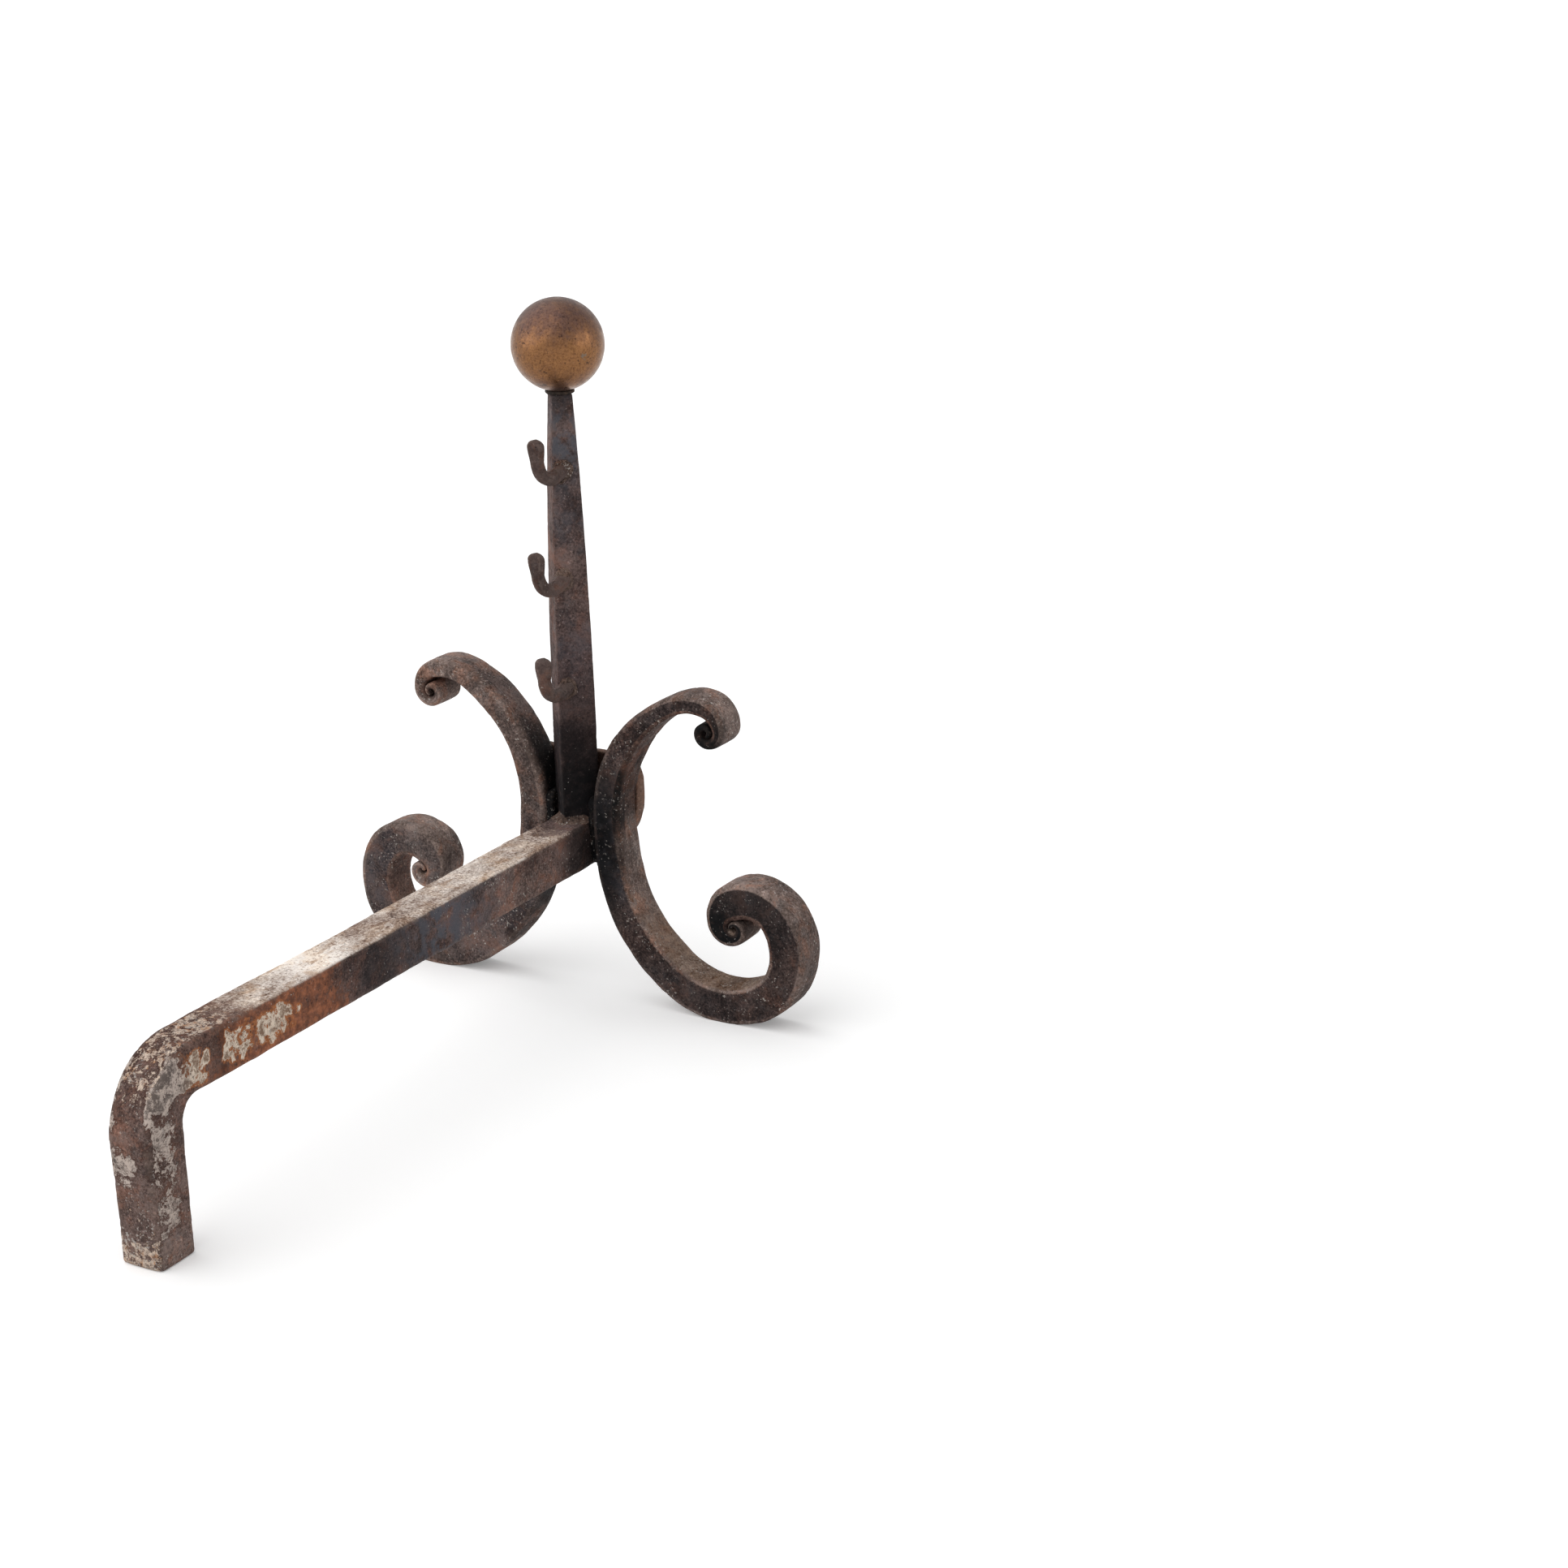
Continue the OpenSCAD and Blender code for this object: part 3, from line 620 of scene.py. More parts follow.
# Each iron is given its dark, light and rubbed colour first
finishes = {
    "bar_iron": iron("bar_iron", (0.026, 0.017, 0.016), (0.175, 0.122, 0.112), (0.24, 0.18, 0.15),
                     wear=0.2, ash=0.38, grain=0.9, flaked=True, deep=(0.125, 0.052, 0.033),
                     bright=(0.40, 0.150, 0.076), thin=(0.30, 0.215, 0.172),
                     thick=(0.98, 0.90, 0.83)),
    "upright_iron": iron("upright_iron", (0.034, 0.022, 0.022), (0.150, 0.104, 0.099),
                         (0.18, 0.13, 0.11), wear=0.1, warmth=0.3, flecks=0.5, rust=-0.14,
                         ash=-0.2, bump=0.4),
    "scroll_iron": iron("scroll_iron", (0.014, 0.009, 0.009), (0.136, 0.097, 0.089),
                        (0.18, 0.135, 0.11), wear=0.15, grain=1.1, warmth=0.45, rust=-0.08,
                        ash=0.02, flecks=1.75),
    "hook_iron": iron("hook_iron", (0.046, 0.030, 0.027), (0.140, 0.097, 0.086),
                      (0.19, 0.145, 0.125), wear=0.2, grain=0.5, flecks=0.5, bump=0.35, ash=-0.1),
    "boss_iron": iron("boss_iron", (0.060, 0.036, 0.027), (0.22, 0.135, 0.098),
                      (0.17, 0.10, 0.07), wear=0.15, rust=0.12, flecks=0.8),
    "weld_iron": iron("weld_iron", (0.035, 0.022, 0.018), (0.19, 0.130, 0.105),
                      (0.26, 0.20, 0.16), wear=0.2, grain=1.1, ash=0.06, flecks=2.2, bump=0.9,
                      thin=(0.15, 0.105, 0.085), thick=(0.40, 0.32, 0.26)),
    "washer_iron": iron("washer_iron", (0.020, 0.014, 0.012), (0.10, 0.075, 0.060),
                        (0.17, 0.12, 0.09), wear=0.2, flecks=0.3),
    "stud_iron": iron("stud_iron", (0.030, 0.023, 0.021), (0.12, 0.090, 0.078),
                      (0.18, 0.14, 0.12), flecks=0.0),
    "ball_brass": brass("ball_brass"),
}


# ---- Log bar ----


def bar_marks(points, from_edge):
    """Where the finishes lie on the bar, by its length, height and side. Along, torn and level are
    places moved by noise, so that zones end raggedly. Side is 1 on the left and right faces, far
    behind the log's place, rear on the back of the leg."""
    x, y, z = points.T
    ring = np.hypot(y - RING_MARK[0], z - RING_MARK[1])
    left = x < 0
    side = ease(np.abs(x), 12, 14.5)
    upward = ease(z, BAR_TOP - 6, BAR_TOP - 1)
    far = ease(y, 318, 352)
    leg_part = ease(y, 425, 470) * ease(z, 110, 80)
    rear = ease(y, REACH - 3, REACH - 1) * leg_part
    along, level = y + 7 * grit(points, 13, 6), z + 5 * grit(points, 10, 7)
    torn = along + 8 * grit(points, 5, 19)
    tongues = 1.1 + 0.55 * grit(points * [1, 1, 0.4], 5.5, 21)
    beam_skin = ease(level, BAR_TOP, BAR_TOP - 11) * ease(level, BAR_BOTTOM, BAR_BOTTOM + 9) * (
        ease(torn, 329, 350) * ease(torn, 421, 403) + ease(torn, 418, 433) * ease(torn, 464, 448))
    ring_skin = left * (0.8 * side * ease(ring, 10.5, 8.5) + 0.25 * bell(ring, 8, 3.5))
    leg_skin = (ease(np.abs(x) + 2 * grit(points, 9, 9), 9, 14) * ease(y, REACH - 31, REACH - 18)
                * ease(level, 10, 28) * (1 - 0.22 * bell(level, 60, 13)))
    rear_skin = (1.25 * bell(level, 63, 20) * bell(x, 3, 13) + 0.95 * bell(level, 106, 15)
                 + 0.62 * ease(z, 20, 8))
    bend_skin = ease(along, 376, 410) * ease(level, 82, 118) * (1 - side)
    return {
        "edge": with_ends(edge_mark(from_edge)),
        "soot_and_shade": 0.55 * side * bell(y, 255, 34) * (1 - far) + 0.75 * ease(y, 60, 26) * side
                + 0.4 * side * bell(y, 412, 11)
                # On the ring mark: a dark dot at its middle, and a dark line just outside the raised ring,
                # a painted shadow of its rim
                + left * (0.6 * bell(ring, 0, 2.2) + 0.4 * bell(ring, 10.8, 1.1)),
        "cool": 0.9 * side * bell(y, 190, 55),
        "brown": np.clip(0.9 * ease(y, 270, 320) - 0.5 * ease(y, 440, 460)
                         + 0.5 * bell(y, 85, 38) * side, 0, 1),
        "dust": 0.32 * bell(y, 95, 40) * side + leg_part * (0.38 - 0.2 * rear + 0.25 * ease(z, 30, 5)),
        "rust": 0.98 * bell(y, 317, 30) * side + 0.8 * far * ease(y, 440, 405) * side
                + 0.35 * ease(z, BAR_BOTTOM + 11, BAR_BOTTOM) * ease(y, 100, 240) * ease(y, 470, 440)
                - 0.22 * ease(y, 440, 462) - 0.1,
        "flake": np.clip(side * beam_skin * tongues + ring_skin + 1.02 * leg_skin * (1 - 0.75 * rear)
                         + rear * rear_skin + 0.5 * bend_skin + 0.14 * grit(points, 24, 5) * far,
                         0, 1.3),
        "salt": 1.6 * bend_skin + 1.2 * rear * ease(z, 40, 10) + 0.9 * leg_part + 0.9 * bell(y, 110, 75),
        "crust": 0.88 * bend_skin + rear * (0.1 * ease(z, 70, 20) + 0.6 * ease(z, 24, 10))
                 + 0.42 * leg_part + 0.4 * side * beam_skin + 0.6 * (1 - side) * bell(y, 340, 60),
        "cream": ease(y, 455, 435) * side,
        "ash": 0.45 * bell(y, 305, 26) + 0.14 * bell(y, 125, 45) - 0.01 * bell(y, 235, 25)
               + 0.04 * bell(y, 365, 25) + 0.05 * upward
               - 0.3 * ease(y, 60, 25) - 0.42 * ease(along, 374, 410),
    }


def log_bar():
    """The bar's section carried along two lines, its lower and its upper edge: straight back, round
    the arcs inside and outside the bend, and down the leg to the floor. The leg's rear swells by a
    bell, and the bend's left side has a shallow ring."""
    turn = np.linspace(0, np.pi / 2, 74)
    inner = np.stack([REACH - LEG_T - BEND_IN + BEND_IN * np.sin(turn),
                      BAR_BOTTOM - BEND_IN + BEND_IN * np.cos(turn)], axis=1)
    outer = np.stack([REACH - BEND_OUT + BEND_OUT * np.sin(turn),
                      BAR_TOP - BEND_OUT + BEND_OUT * np.cos(turn)], axis=1)
    straight_end, leg_start = outer[0, 0] - 6, min(outer[-1, 1], inner[-1, 1]) - 4
    bevel, step = 2.0, 1.1
    # A length so great that only the start of a run is rounded
    one_ended = 1e4
    straight = BAR_LOW[1] + end_steps(2 * (straight_end - BAR_LOW[1]), bevel, step)
    straight = straight[straight <= straight_end]
    leg = end_steps(2 * leg_start, bevel, step)
    leg = leg[leg <= leg_start][::-1]
    into = np.linspace(0, 1, 12)[1:-1, None]

    def line(arc, y, z):
        return np.concatenate([np.column_stack([straight, 0 * straight + z]),
                               [straight[-1], z] * (1 - into) + arc[0] * into,
                               arc,
                               arc[-1] * (1 - into) + [y, leg[0]] * into,
                               np.column_stack([0 * leg + y, leg])])

    low, high = line(inner, REACH - LEG_T, BAR_BOTTOM), line(outer, REACH, BAR_TOP)
    high[:, 0] += LEG_BULGE * bell(high[:, 1], 70, 26) * ease(high[:, 0], REACH - 12, REACH)
    across = high - low
    thick = np.linalg.norm(across, axis=1)
    out = np.column_stack([np.zeros(len(thick)), across / thick[:, None]])
    middle = np.column_stack([np.zeros(len(thick)), (low + high) / 2])
    shrink = np.zeros(len(thick))
    shrink[:len(straight)] = rounded_end(straight - BAR_LOW[1], one_ended, bevel)
    shrink[-len(leg):] = rounded_end(leg, one_ended, bevel)
    corner = 2.3 + 1.1 * ease(middle[:, 1], REACH - 60, REACH - 30) + 0.5 * grit(middle, 22, 12)
    points, normal, from_edge = sweep(middle, out, X, thick - 2 * shrink, BAR_W - 2 * shrink, corner,
                                      section_plan(27, 28))
    ring = np.hypot(points[..., 1] - RING_MARK[0], points[..., 2] - RING_MARK[1])
    dent = 0.35 * (bell(ring, 8, 2.2) - bell(ring, 0, 3)) * (points[..., 0] < 3 - BAR_W / 2)
    points = points + normal * (hammered(points, 11) + dent)[..., None]
    points[..., 2] = np.maximum(points[..., 2], 0)
    points, faces = skin(points)
    return put_piece("log_bar_forged", points, faces, bar_marks(points, from_edge), "log_bar",
                     "bar_iron")


# ---- Upright ----


def upright_side(rise):
    """Side of the tapered square at a height above the bar: it narrows by the power TAPER."""
    share = np.clip(np.asarray(rise, float), 0, UPRIGHT_LEN) / UPRIGHT_LEN
    return UPRIGHT_W - (UPRIGHT_W - UPRIGHT_TOP_W) * share ** TAPER


def upright():
    """The tapered square carried straight up, one corner to the rear."""
    bevel = 1.2
    run = end_steps(UPRIGHT_LEN, bevel, 1.05)
    side = upright_side(run) - 2 * rounded_end(run, UPRIGHT_LEN, bevel)
    middle = np.column_stack([0 * run, 0 * run, UPRIGHT_LOW[2] + run])
    out = np.tile((X + Y) / np.sqrt(2), (len(run), 1))
    points, normal, from_edge = sweep(middle, out, (Y - X) / np.sqrt(2), side, side, 1.5,
                                      section_plan(18, 18), crown=0.15)
    points = points + normal * hammered(points, 23, 0.75)[..., None]
    points, faces = skin(points)
    x, y, z = points.T
    rise = z - UPRIGHT_LOW[2]
    narrow = ease(np.abs(x + y) - np.abs(x - y), -2, 2)
    marks = {
        "edge": with_ends(edge_mark(from_edge, 1.7)),
        # Darker towards the foot: soot, and painted shade from the scrolls and bar around the foot
        "soot_and_shade": ease(rise + 14 * narrow, 125, 30) * 0.97 + 0.5 * ease(rise, 280, 298) * (1 - narrow)
                + 0.13 * narrow * ease(rise, 70, 120) * ease(rise, 290, 270),
        "cool": (1.5 * bell(rise, 274, 26) + 0.5 * bell(rise, 215, 16) + 0.3 * bell(rise, 130, 26))
                * (1 - 0.8 * narrow),
        "brown": 0.3 * bell(rise, 170, 30) + 0.3 * narrow * ease(rise, 60, 120) * ease(rise, 292, 270),
        "dust": (0.17 - 0.07 * narrow) * ease(rise, 120, 170),
        "rust": 0.12 * bell(rise, 168, 22) - 0.1,
        "ash": -0.3,
    }
    return put_piece("upright_forged", points, faces, marks, "upright", "upright_iron")


# ---- Scrolls ----


def arc_chain(start, arcs, side, step):
    """Centreline of tangent arcs as rows of x, z, heading and thickness. After turning by a along an
    arc of radius r, a point lies 2 r sin(a / 2) from the arc's start, at the heading plus a / 2."""
    rows = []
    x, z, heading, t = start
    for radius, sweep_angle, thick in arcs:
        full = np.radians(sweep_angle)
        count = max(8, int(np.ceil(radius * full / step)))
        a = full * np.arange(1, count + 1) / count
        chord = 2 * radius * np.sin(a / 2)
        toward = heading + side * a / 2
        rows.append(np.column_stack([x + chord * np.cos(toward), z + chord * np.sin(toward),
                                     heading + side * a, t + (thick - t) * a / full]))
        x, z, heading, t = rows[-1][-1]
    return np.concatenate(rows)


def scroll_marks(points, from_edge, face, girth, lane, side):
    """Where the finishes lie on a scroll, by its distance out and its height. Out is the distance
    from the middle; face is 1 on the inside of the curl and -1 on its outside; girth is the bar's
    thickness; lane is a noise drawn out along the bar; junction is the part behind the bar, and
    curl the left foot's curl. The two scrolls differ as the real ones do."""
    hollow, back = np.maximum(face, 0), np.maximum(-face, 0)
    x, y, z = points.T
    out = side * x
    blur = grit(points, 9, 5)
    rear = ease(y + 2.5 * blur, 5, 13.5)
    junction = ease(out + 5 * blur, 56, 30) * ease(z + 6 * blur, 36, 82) * ease(z + 6 * blur, 216, 162)
    upper = ease(z, 135, 150)
    lower = 1 - upper
    flat_rear = rear * (1 - hollow) * (1 - back)
    blotch, stain = grit(points, 29, 11), ease(grit(points, 24, 12), 0.1, 0.7)
    if side < 0:
        curl = lower * ease(out + 3 * blur, 184, 158) * ease(out, 92, 104) * ease(z, 40, 62)
        soot_and_shade = (junction * (0.25 + 0.6 * rear) * (1 - 0.9 * hollow * ease(y + 3 * blur, 12, 5))
                + flat_rear * (0.42 * ease(out, 40, 70) * ease(z, 262, 205) + 0.3 * curl)
                + hollow * (0.7 * bell(z, 168, 38) * ease(out, 80, 45)
                            + 0.40 * ease(lane, -0.2, -0.8) * ease(z, 235, 190))
                # Darker where the bar thins into the curls' inner turns: soot, and painted shade of the
                # coil
                + upper * (0.6 * ease(girth, 9, 7.5) + 0.5 * ease(girth, 14, 9) * rear)
                + 0.75 * lower * ease(girth, 26, 13) * (1 - back))
        rust = (hollow * (0.30 * ease(z, 205, 150) * ease(out, 150, 120)
                          + 0.55 * lane * ease(z, 225, 170))
                + 0.15 * bell(z, 226, 14) - 0.2 * flat_rear)
        cool = 0.6 * rear * bell(z, 118, 40) * ease(out, 60, 40)
        film = hollow * (1.4 * ease(z, 150, 115) * (0.55 + 0.55 * bell(y + 2 * blur, -1, 8))
                         - 0.3 * ease(z, 130, 160) + 0.45 * lane - 1.5 * curl)
    else:
        soot_and_shade = (junction * (1 - 0.97 * rear)
                + 0.22 * ease(grit(points, 34, 8), 0.1, 0.7) * (1 - back)
                # Darker where the bar thins into the curls' inner turns: soot, and painted shade of the
                # coil
                + 0.6 * upper * ease(girth, 11, 7) * hollow
                + 0.2 * lower * rear * ease(out, 150, 170))
        rust = 0.34 * bell(out, 95, 30) * bell(z, 205, 34) + 0.10 * ease(z, 120, 60) + 0.15 * lane
        cool = 0.35 * rear * bell(z, 60, 40)
        film = rear * (0.12 + 0.34 * ease(z, 110, 150) + 0.3 * ease(z, 200, 225)
                       + 0.35 * ease(z, 125, 105) * ease(out, 100, 125) - 0.5 * ease(out, 135, 165))
    soot_and_shade = soot_and_shade + 0.3 * back * stain + 0.12 * hollow * stain
    rust = rust + (0.4 * back + 0.1) * ease(grit(points, 21, 13), 0.1, 0.8)
    film = film + 0.25 * back * blotch
    return {"edge": with_ends(edge_mark(from_edge)), "soot_and_shade": np.clip(soot_and_shade, 0, 1), "rust": rust - 0.14,
            "cool": cool,
            "brown": np.clip(0.3 * ease(grit(points, 45, 3), -0.2, 0.7) + 0.8 * hollow, 0, 1),
            "dust": np.clip(back * (0.25 + 0.55 * ease(out, 60, 100) * (0.35 + 0.65 * ease(z, 40, 80)))
                            + 0.2 * hollow * ease(z, 120, 60) + film, 0, 1),
            "ash": 0.30 * ease(z, 140, 40)
                   + hollow * (0.15 * ease(z, 90, 40) + 0.3 * (side < 0) * bell(z, 75, 34))}


def scroll(name, side, seed):
    """One bar from tip to tip: the arcs of the upper branch reversed, the root, and the arcs of the
    lower branch, with the thickness of each arc's end reached evenly. The foot is flat at z = 0."""
    root_x = SCROLL_BACK + SCROLL_ROOT_T / 2
    up, down = np.pi / 2, -np.pi / 2
    upper = arc_chain([root_x, 0, up, SCROLL_ROOT_T], UPPER_ARCS, -1, 1.0)[::-1] + [0, 0, np.pi, 0]
    lower = arc_chain([root_x, 0, down, SCROLL_ROOT_T], LOWER_ARCS, 1, 1.0)
    x, z, heading, thick = np.concatenate([upper, [[root_x, 0, down, SCROLL_ROOT_T]], lower]).T
    step = np.hypot(np.diff(x), np.diff(z))
    run = np.concatenate([[0], np.cumsum(step)])
    tip_r = 1.1
    shrink = rounded_end(run, run[-1], tip_r)
    thick, deep = thick - 2 * np.minimum(shrink, 0.4 * thick), SCROLL_DEPTH - 2 * shrink
    middle = np.column_stack([side * x, 0 * x, z + BAR_TOP + SCROLL_RISE])
    soft = 2.5 + 1.3 * bell(middle[:, 2], BAR_TOP + SCROLL_RISE, 55) + 0.7 * grit(middle, 20, seed + 4)
    corner = np.minimum(soft, 0.34 * thick)
    out = np.column_stack([-side * np.sin(heading), 0 * x, np.cos(heading)])
    plan = section_plan(17, 23)
    points, normal, from_edge = sweep(middle, out, Y, thick, deep, corner, plan)
    calm = ease(thick, 3, 15)[:, None]
    points = points + normal * (hammered(points, seed, 1.2) * (0.15 + 0.85 * calm))[..., None]
    points[..., 2] = np.maximum(points[..., 2], 0)
    share = plan[:, 0]
    face = with_ends(ease(share, 0.9, 1) - ease(-share, 0.9, 1), points)
    girth = with_ends(thick[:, None], points)
    drawn_out = np.stack([np.broadcast_to(run[:, None] / 8, points.shape[:2]), points[..., 1],
                          points[..., 2] * 0], axis=-1)
    lane = with_ends(grit(drawn_out, 3.4, seed + 6))
    points, faces = skin(points)
    marks = scroll_marks(points, from_edge, face, girth, lane, side)
    return put_piece(name + "_forged", points, faces, marks, name, "scroll_iron")


# ---- Front boss ----


def front_boss():
    """A plate turned about the Y axis: at the angle a its outline is the nearest of the disc and of
    the flats at its sides, top and bottom, and its face is an arc that rises to the middle. Its
    back has a ridge along each scroll, which bends away from the bar by rise^2 / (2 radius)."""
    half_w, half_h = (BOSS_HIGH[0] - BOSS_LOW[0]) / 2, (BOSS_HIGH[2] - BOSS_LOW[2]) / 2
    thick = BOSS_HIGH[1] - BOSS_LOW[1]
    rim = thick - BOSS_DOME

    def outline(angle):
        ragged = np.stack([30 * np.cos(angle), 30 * np.sin(angle), 0 * angle], axis=-1)
        by_side = half_w / np.maximum(np.abs(np.cos(angle)), 1e-3)
        by_top = half_h / np.maximum(np.abs(np.sin(angle)), 1e-3)
        nearest = np.minimum(np.minimum(by_side, by_top), BOSS_D / 2)
        return nearest - 0.9 + 0.9 * grit(ragged, 9, 3)

    bevel, bevel_r = np.linspace(0, np.pi / 2, 6), 1.6
    across = np.linspace(1, 0, 40)[1:-1]
    face_share, rim_share = 0.965, 0.035
    share = np.concatenate([across[::-1], face_share + rim_share * np.sin(bevel),
                            face_share + rim_share * np.cos(bevel), face_share * across])
    height = np.concatenate([0 * across, bevel_r - bevel_r * np.cos(bevel),
                             rim - bevel_r + bevel_r * np.sin(bevel),
                             rim + BOSS_DOME * (1 - across ** 2)])
    centre = np.array([0, BOSS_HIGH[1], (BOSS_LOW[2] + BOSS_HIGH[2]) / 2])
    rings = shell_of(outline, share, height, (X, Z, -Y), centre, 220)
    outward = rings - centre - 0.5 * thick * -Y
    outward /= np.linalg.norm(outward, axis=-1, keepdims=True)
    rings = rings + outward * hammered(rings, 37, 1.1)[..., None]
    rise = rings[..., 2] - BAR_TOP - SCROLL_RISE
    curve = np.where(rise > 0, UPPER_ARCS[0][0], LOWER_ARCS[0][0])
    beside = np.abs(rings[..., 0]) - SCROLL_BACK - SCROLL_ROOT_T - rise ** 2 / (2 * curve)
    ridge = BOSS_RIDGE * ease(beside, -4, -1.2) * ease(beside, 3.5, 0.2)
    at_back = rings[..., 1] > BOSS_HIGH[1] - 1
    rings[..., 1] = np.minimum(rings[..., 1], BOSS_HIGH[1]) + np.where(at_back, ridge, 0)
    points, faces = skin(rings)
    x, y, z = points.T
    marks = {"edge": with_ends(bell(share[:, None], 1.0, rim_share), rings),
             "soot_and_shade": 0.45 * ease(np.abs(x), 24, 12) * ease(y, -16, -13),
             "brown": 0.25, "rust": 0.16 + 0.1 * bell(z, 140, 20), "ash": -0.1}
    return put_piece("front_boss_forged", points, faces, marks, "front_boss", "boss_iron")


# ---- Hooks ----


def hook_face_y(rise):
    """Y of the rear-left face of the upright, HOOK_SIDE to the left of its middle."""
    return upright_side(rise) / np.sqrt(2) - HOOK_SIDE


def hook(name, seed):
    """A tapered bar along a neck that dips, an arc that turns it up and a blade that leans outwards.
    Its thickness falls and its width grows towards the blade's round end."""
    rise, neck, lean = HOOKS[name]
    lean = np.radians(lean)
    waist, tip = 0.74 * HOOK_BLADE_W, 0.38 * HOOK_BLADE_W
    dip = np.array([np.cos(HOOK_DIP), -np.sin(HOOK_DIP)])
    up = np.array([np.sin(lean), np.cos(lean)])
    inside = hook_face_y(rise) / np.cos(HOOK_DIP)
    straight = np.linspace(-inside, neck, 24)[:-1, None] * dip
    centre = neck * dip + HOOK_BEND * np.array([np.sin(HOOK_DIP), np.cos(HOOK_DIP)])
    a = np.linspace(-HOOK_DIP, np.pi / 2 - lean, 46)
    bend = centre + HOOK_BEND * np.stack([np.sin(a), -np.cos(a)], axis=1)
    s = np.linspace(0, 1, 18)[1:, None]
    blade = bend[-1] + s * (HOOK_BLADE_LEN - tip) * up
    end = np.radians(np.linspace(0, 86, 14))[1:]
    round_end = blade[-1] + np.sin(end)[:, None] * tip * up
    path = np.concatenate([straight, bend, blade, round_end])
    heading = np.concatenate([np.full(len(straight), -HOOK_DIP), a,
                              np.full(len(blade) + len(end), np.pi / 2 - lean)])
    along = np.linspace(0, 1, len(bend))
    neck_t, waist_t = HOOK_ROOT_T, 1.2 * HOOK_BLADE_T
    thick = np.concatenate([np.full(len(straight), neck_t), neck_t + (waist_t - neck_t) * along,
                            HOOK_BLADE_T * (1.2 - 0.2 * s[:, 0]),
                            HOOK_BLADE_T * (0.62 + 0.38 * np.cos(end))])
    wide = np.concatenate([np.full(len(straight), neck_t), neck_t + (waist - neck_t) * along,
                           waist + (HOOK_BLADE_W - waist) * ease(s[:, 0], -0.2, 1),
                           HOOK_BLADE_W * np.cos(end)])
    middle = np.column_stack([np.full(len(path), -HOOK_SIDE), hook_face_y(rise) + path[:, 0],
                              UPRIGHT_LOW[2] + rise + path[:, 1]])
    out = np.column_stack([0 * heading, -np.sin(heading), np.cos(heading)])
    corner = 0.40 * np.minimum(thick, wide)
    points, normal, from_edge = sweep(middle, out, X, thick, wide, corner, section_plan(9, 12, 6),
                                      crown=0.35)
    tail = ease(np.arange(len(path)), len(path) - 4, len(path) - 10)[:, None]
    points = points + normal * (hammered(points, seed, 0.75) * (0.25 + 0.75 * tail))[..., None]
    points, faces = skin(points)
    marks = {"edge": with_ends(edge_mark(from_edge, 1.2)), "rust": -0.05, "ash": -0.2}
    return put_piece(name + "_forged", points, faces, marks, name, "hook_iron")


# ---- Welds ----


def lump(centre, axes, radii, seed, rough):
    """A blob of weld: a sphere's grid of heights and angles, stretched along three axes and pushed
    in and out by two noises. Returns its rings."""
    ball = sphere_grid(np.radians(np.linspace(4, 176, 44)), 72)
    local = ball * radii
    push = rough * (0.55 * grit(local + 50, 4.2, seed) + 0.4 * grit(local + 50, 1.9, seed + 1))
    local = local + ball * push[..., None]
    return centre + local @ np.array(axes)


def join_skins(parts):
    """Several closed skins as one mesh: each one's faces count on from the points before it."""
    points, triangles, quads, first = [], [], [], 0
    for rings in parts:
        here, (tri, quad) = skin(rings)
        points.append(here)
        triangles.append(tri + first)
        quads.append(quad + first)
        first += len(here)
    return np.concatenate(points), [np.concatenate(triangles), np.concatenate(quads)]


def hook_welds():
    """Three rough lumps on the rear-left face of the upright, around the hooks' roots."""
    across = (X + Y) / np.sqrt(2)
    away = (Y - X) / np.sqrt(2)
    parts = []
    for seed, (rise, _, _) in enumerate(HOOKS.values()):
        centre = np.array([-HOOK_SIDE, hook_face_y(rise), UPRIGHT_LOW[2] + rise]) - 0.8 * across
        parts.append(lump(centre, (across, Z, away), np.array([7.2, 8.0, 3.6]), 61 + 5 * seed, 1.9))
    points, faces = join_skins(parts)
    return put_piece("hook_welds_lumps", points, faces, {"ash": -0.1}, "hook_welds", "weld_iron")


def junction_welds():
    """Fills between the bar's sides and the scrolls' backs: a short upright bar each, as wide as the
    room, which grows with the square of the distance from the root, and a little rough."""
    low, high = cad_box("junction_welds")
    parts = []
    tall, end_r = high[2] - low[2], 5.0
    for side in (-1, 1):
        run = end_steps(tall, end_r, 1.0)
        shrink = rounded_end(run, tall, end_r)
        z = low[2] + run
        back = SCROLL_BACK + 0.0021 * (z - BAR_TOP - SCROLL_RISE) ** 2
        middle = np.column_stack([side * (BAR_W / 2 + back) / 2, 0 * z, z])
        out = np.tile(side * X, (len(z), 1))
        points, normal, _ = sweep(middle, out, Y, back - BAR_W / 2 + 1.2 - 0.3 * shrink,
                                  high[1] - low[1] - 3 - 2 * shrink, 1.4, section_plan(6, 22))
        rough = 0.75 * grit(points, 5, 81) + 0.35 * grit(points, 2.2, 82)
        parts.append(points + normal * rough[..., None])
    points, faces = join_skins(parts)
    # Near-black all over: painted shade, so that the fills sink into the shade between the bar and the
    # scrolls
    marks = {"soot_and_shade": 1.0, "rust": -0.2, "ash": -0.4}
    return put_piece("junction_welds_fill", points, faces, marks, "junction_welds", "weld_iron")


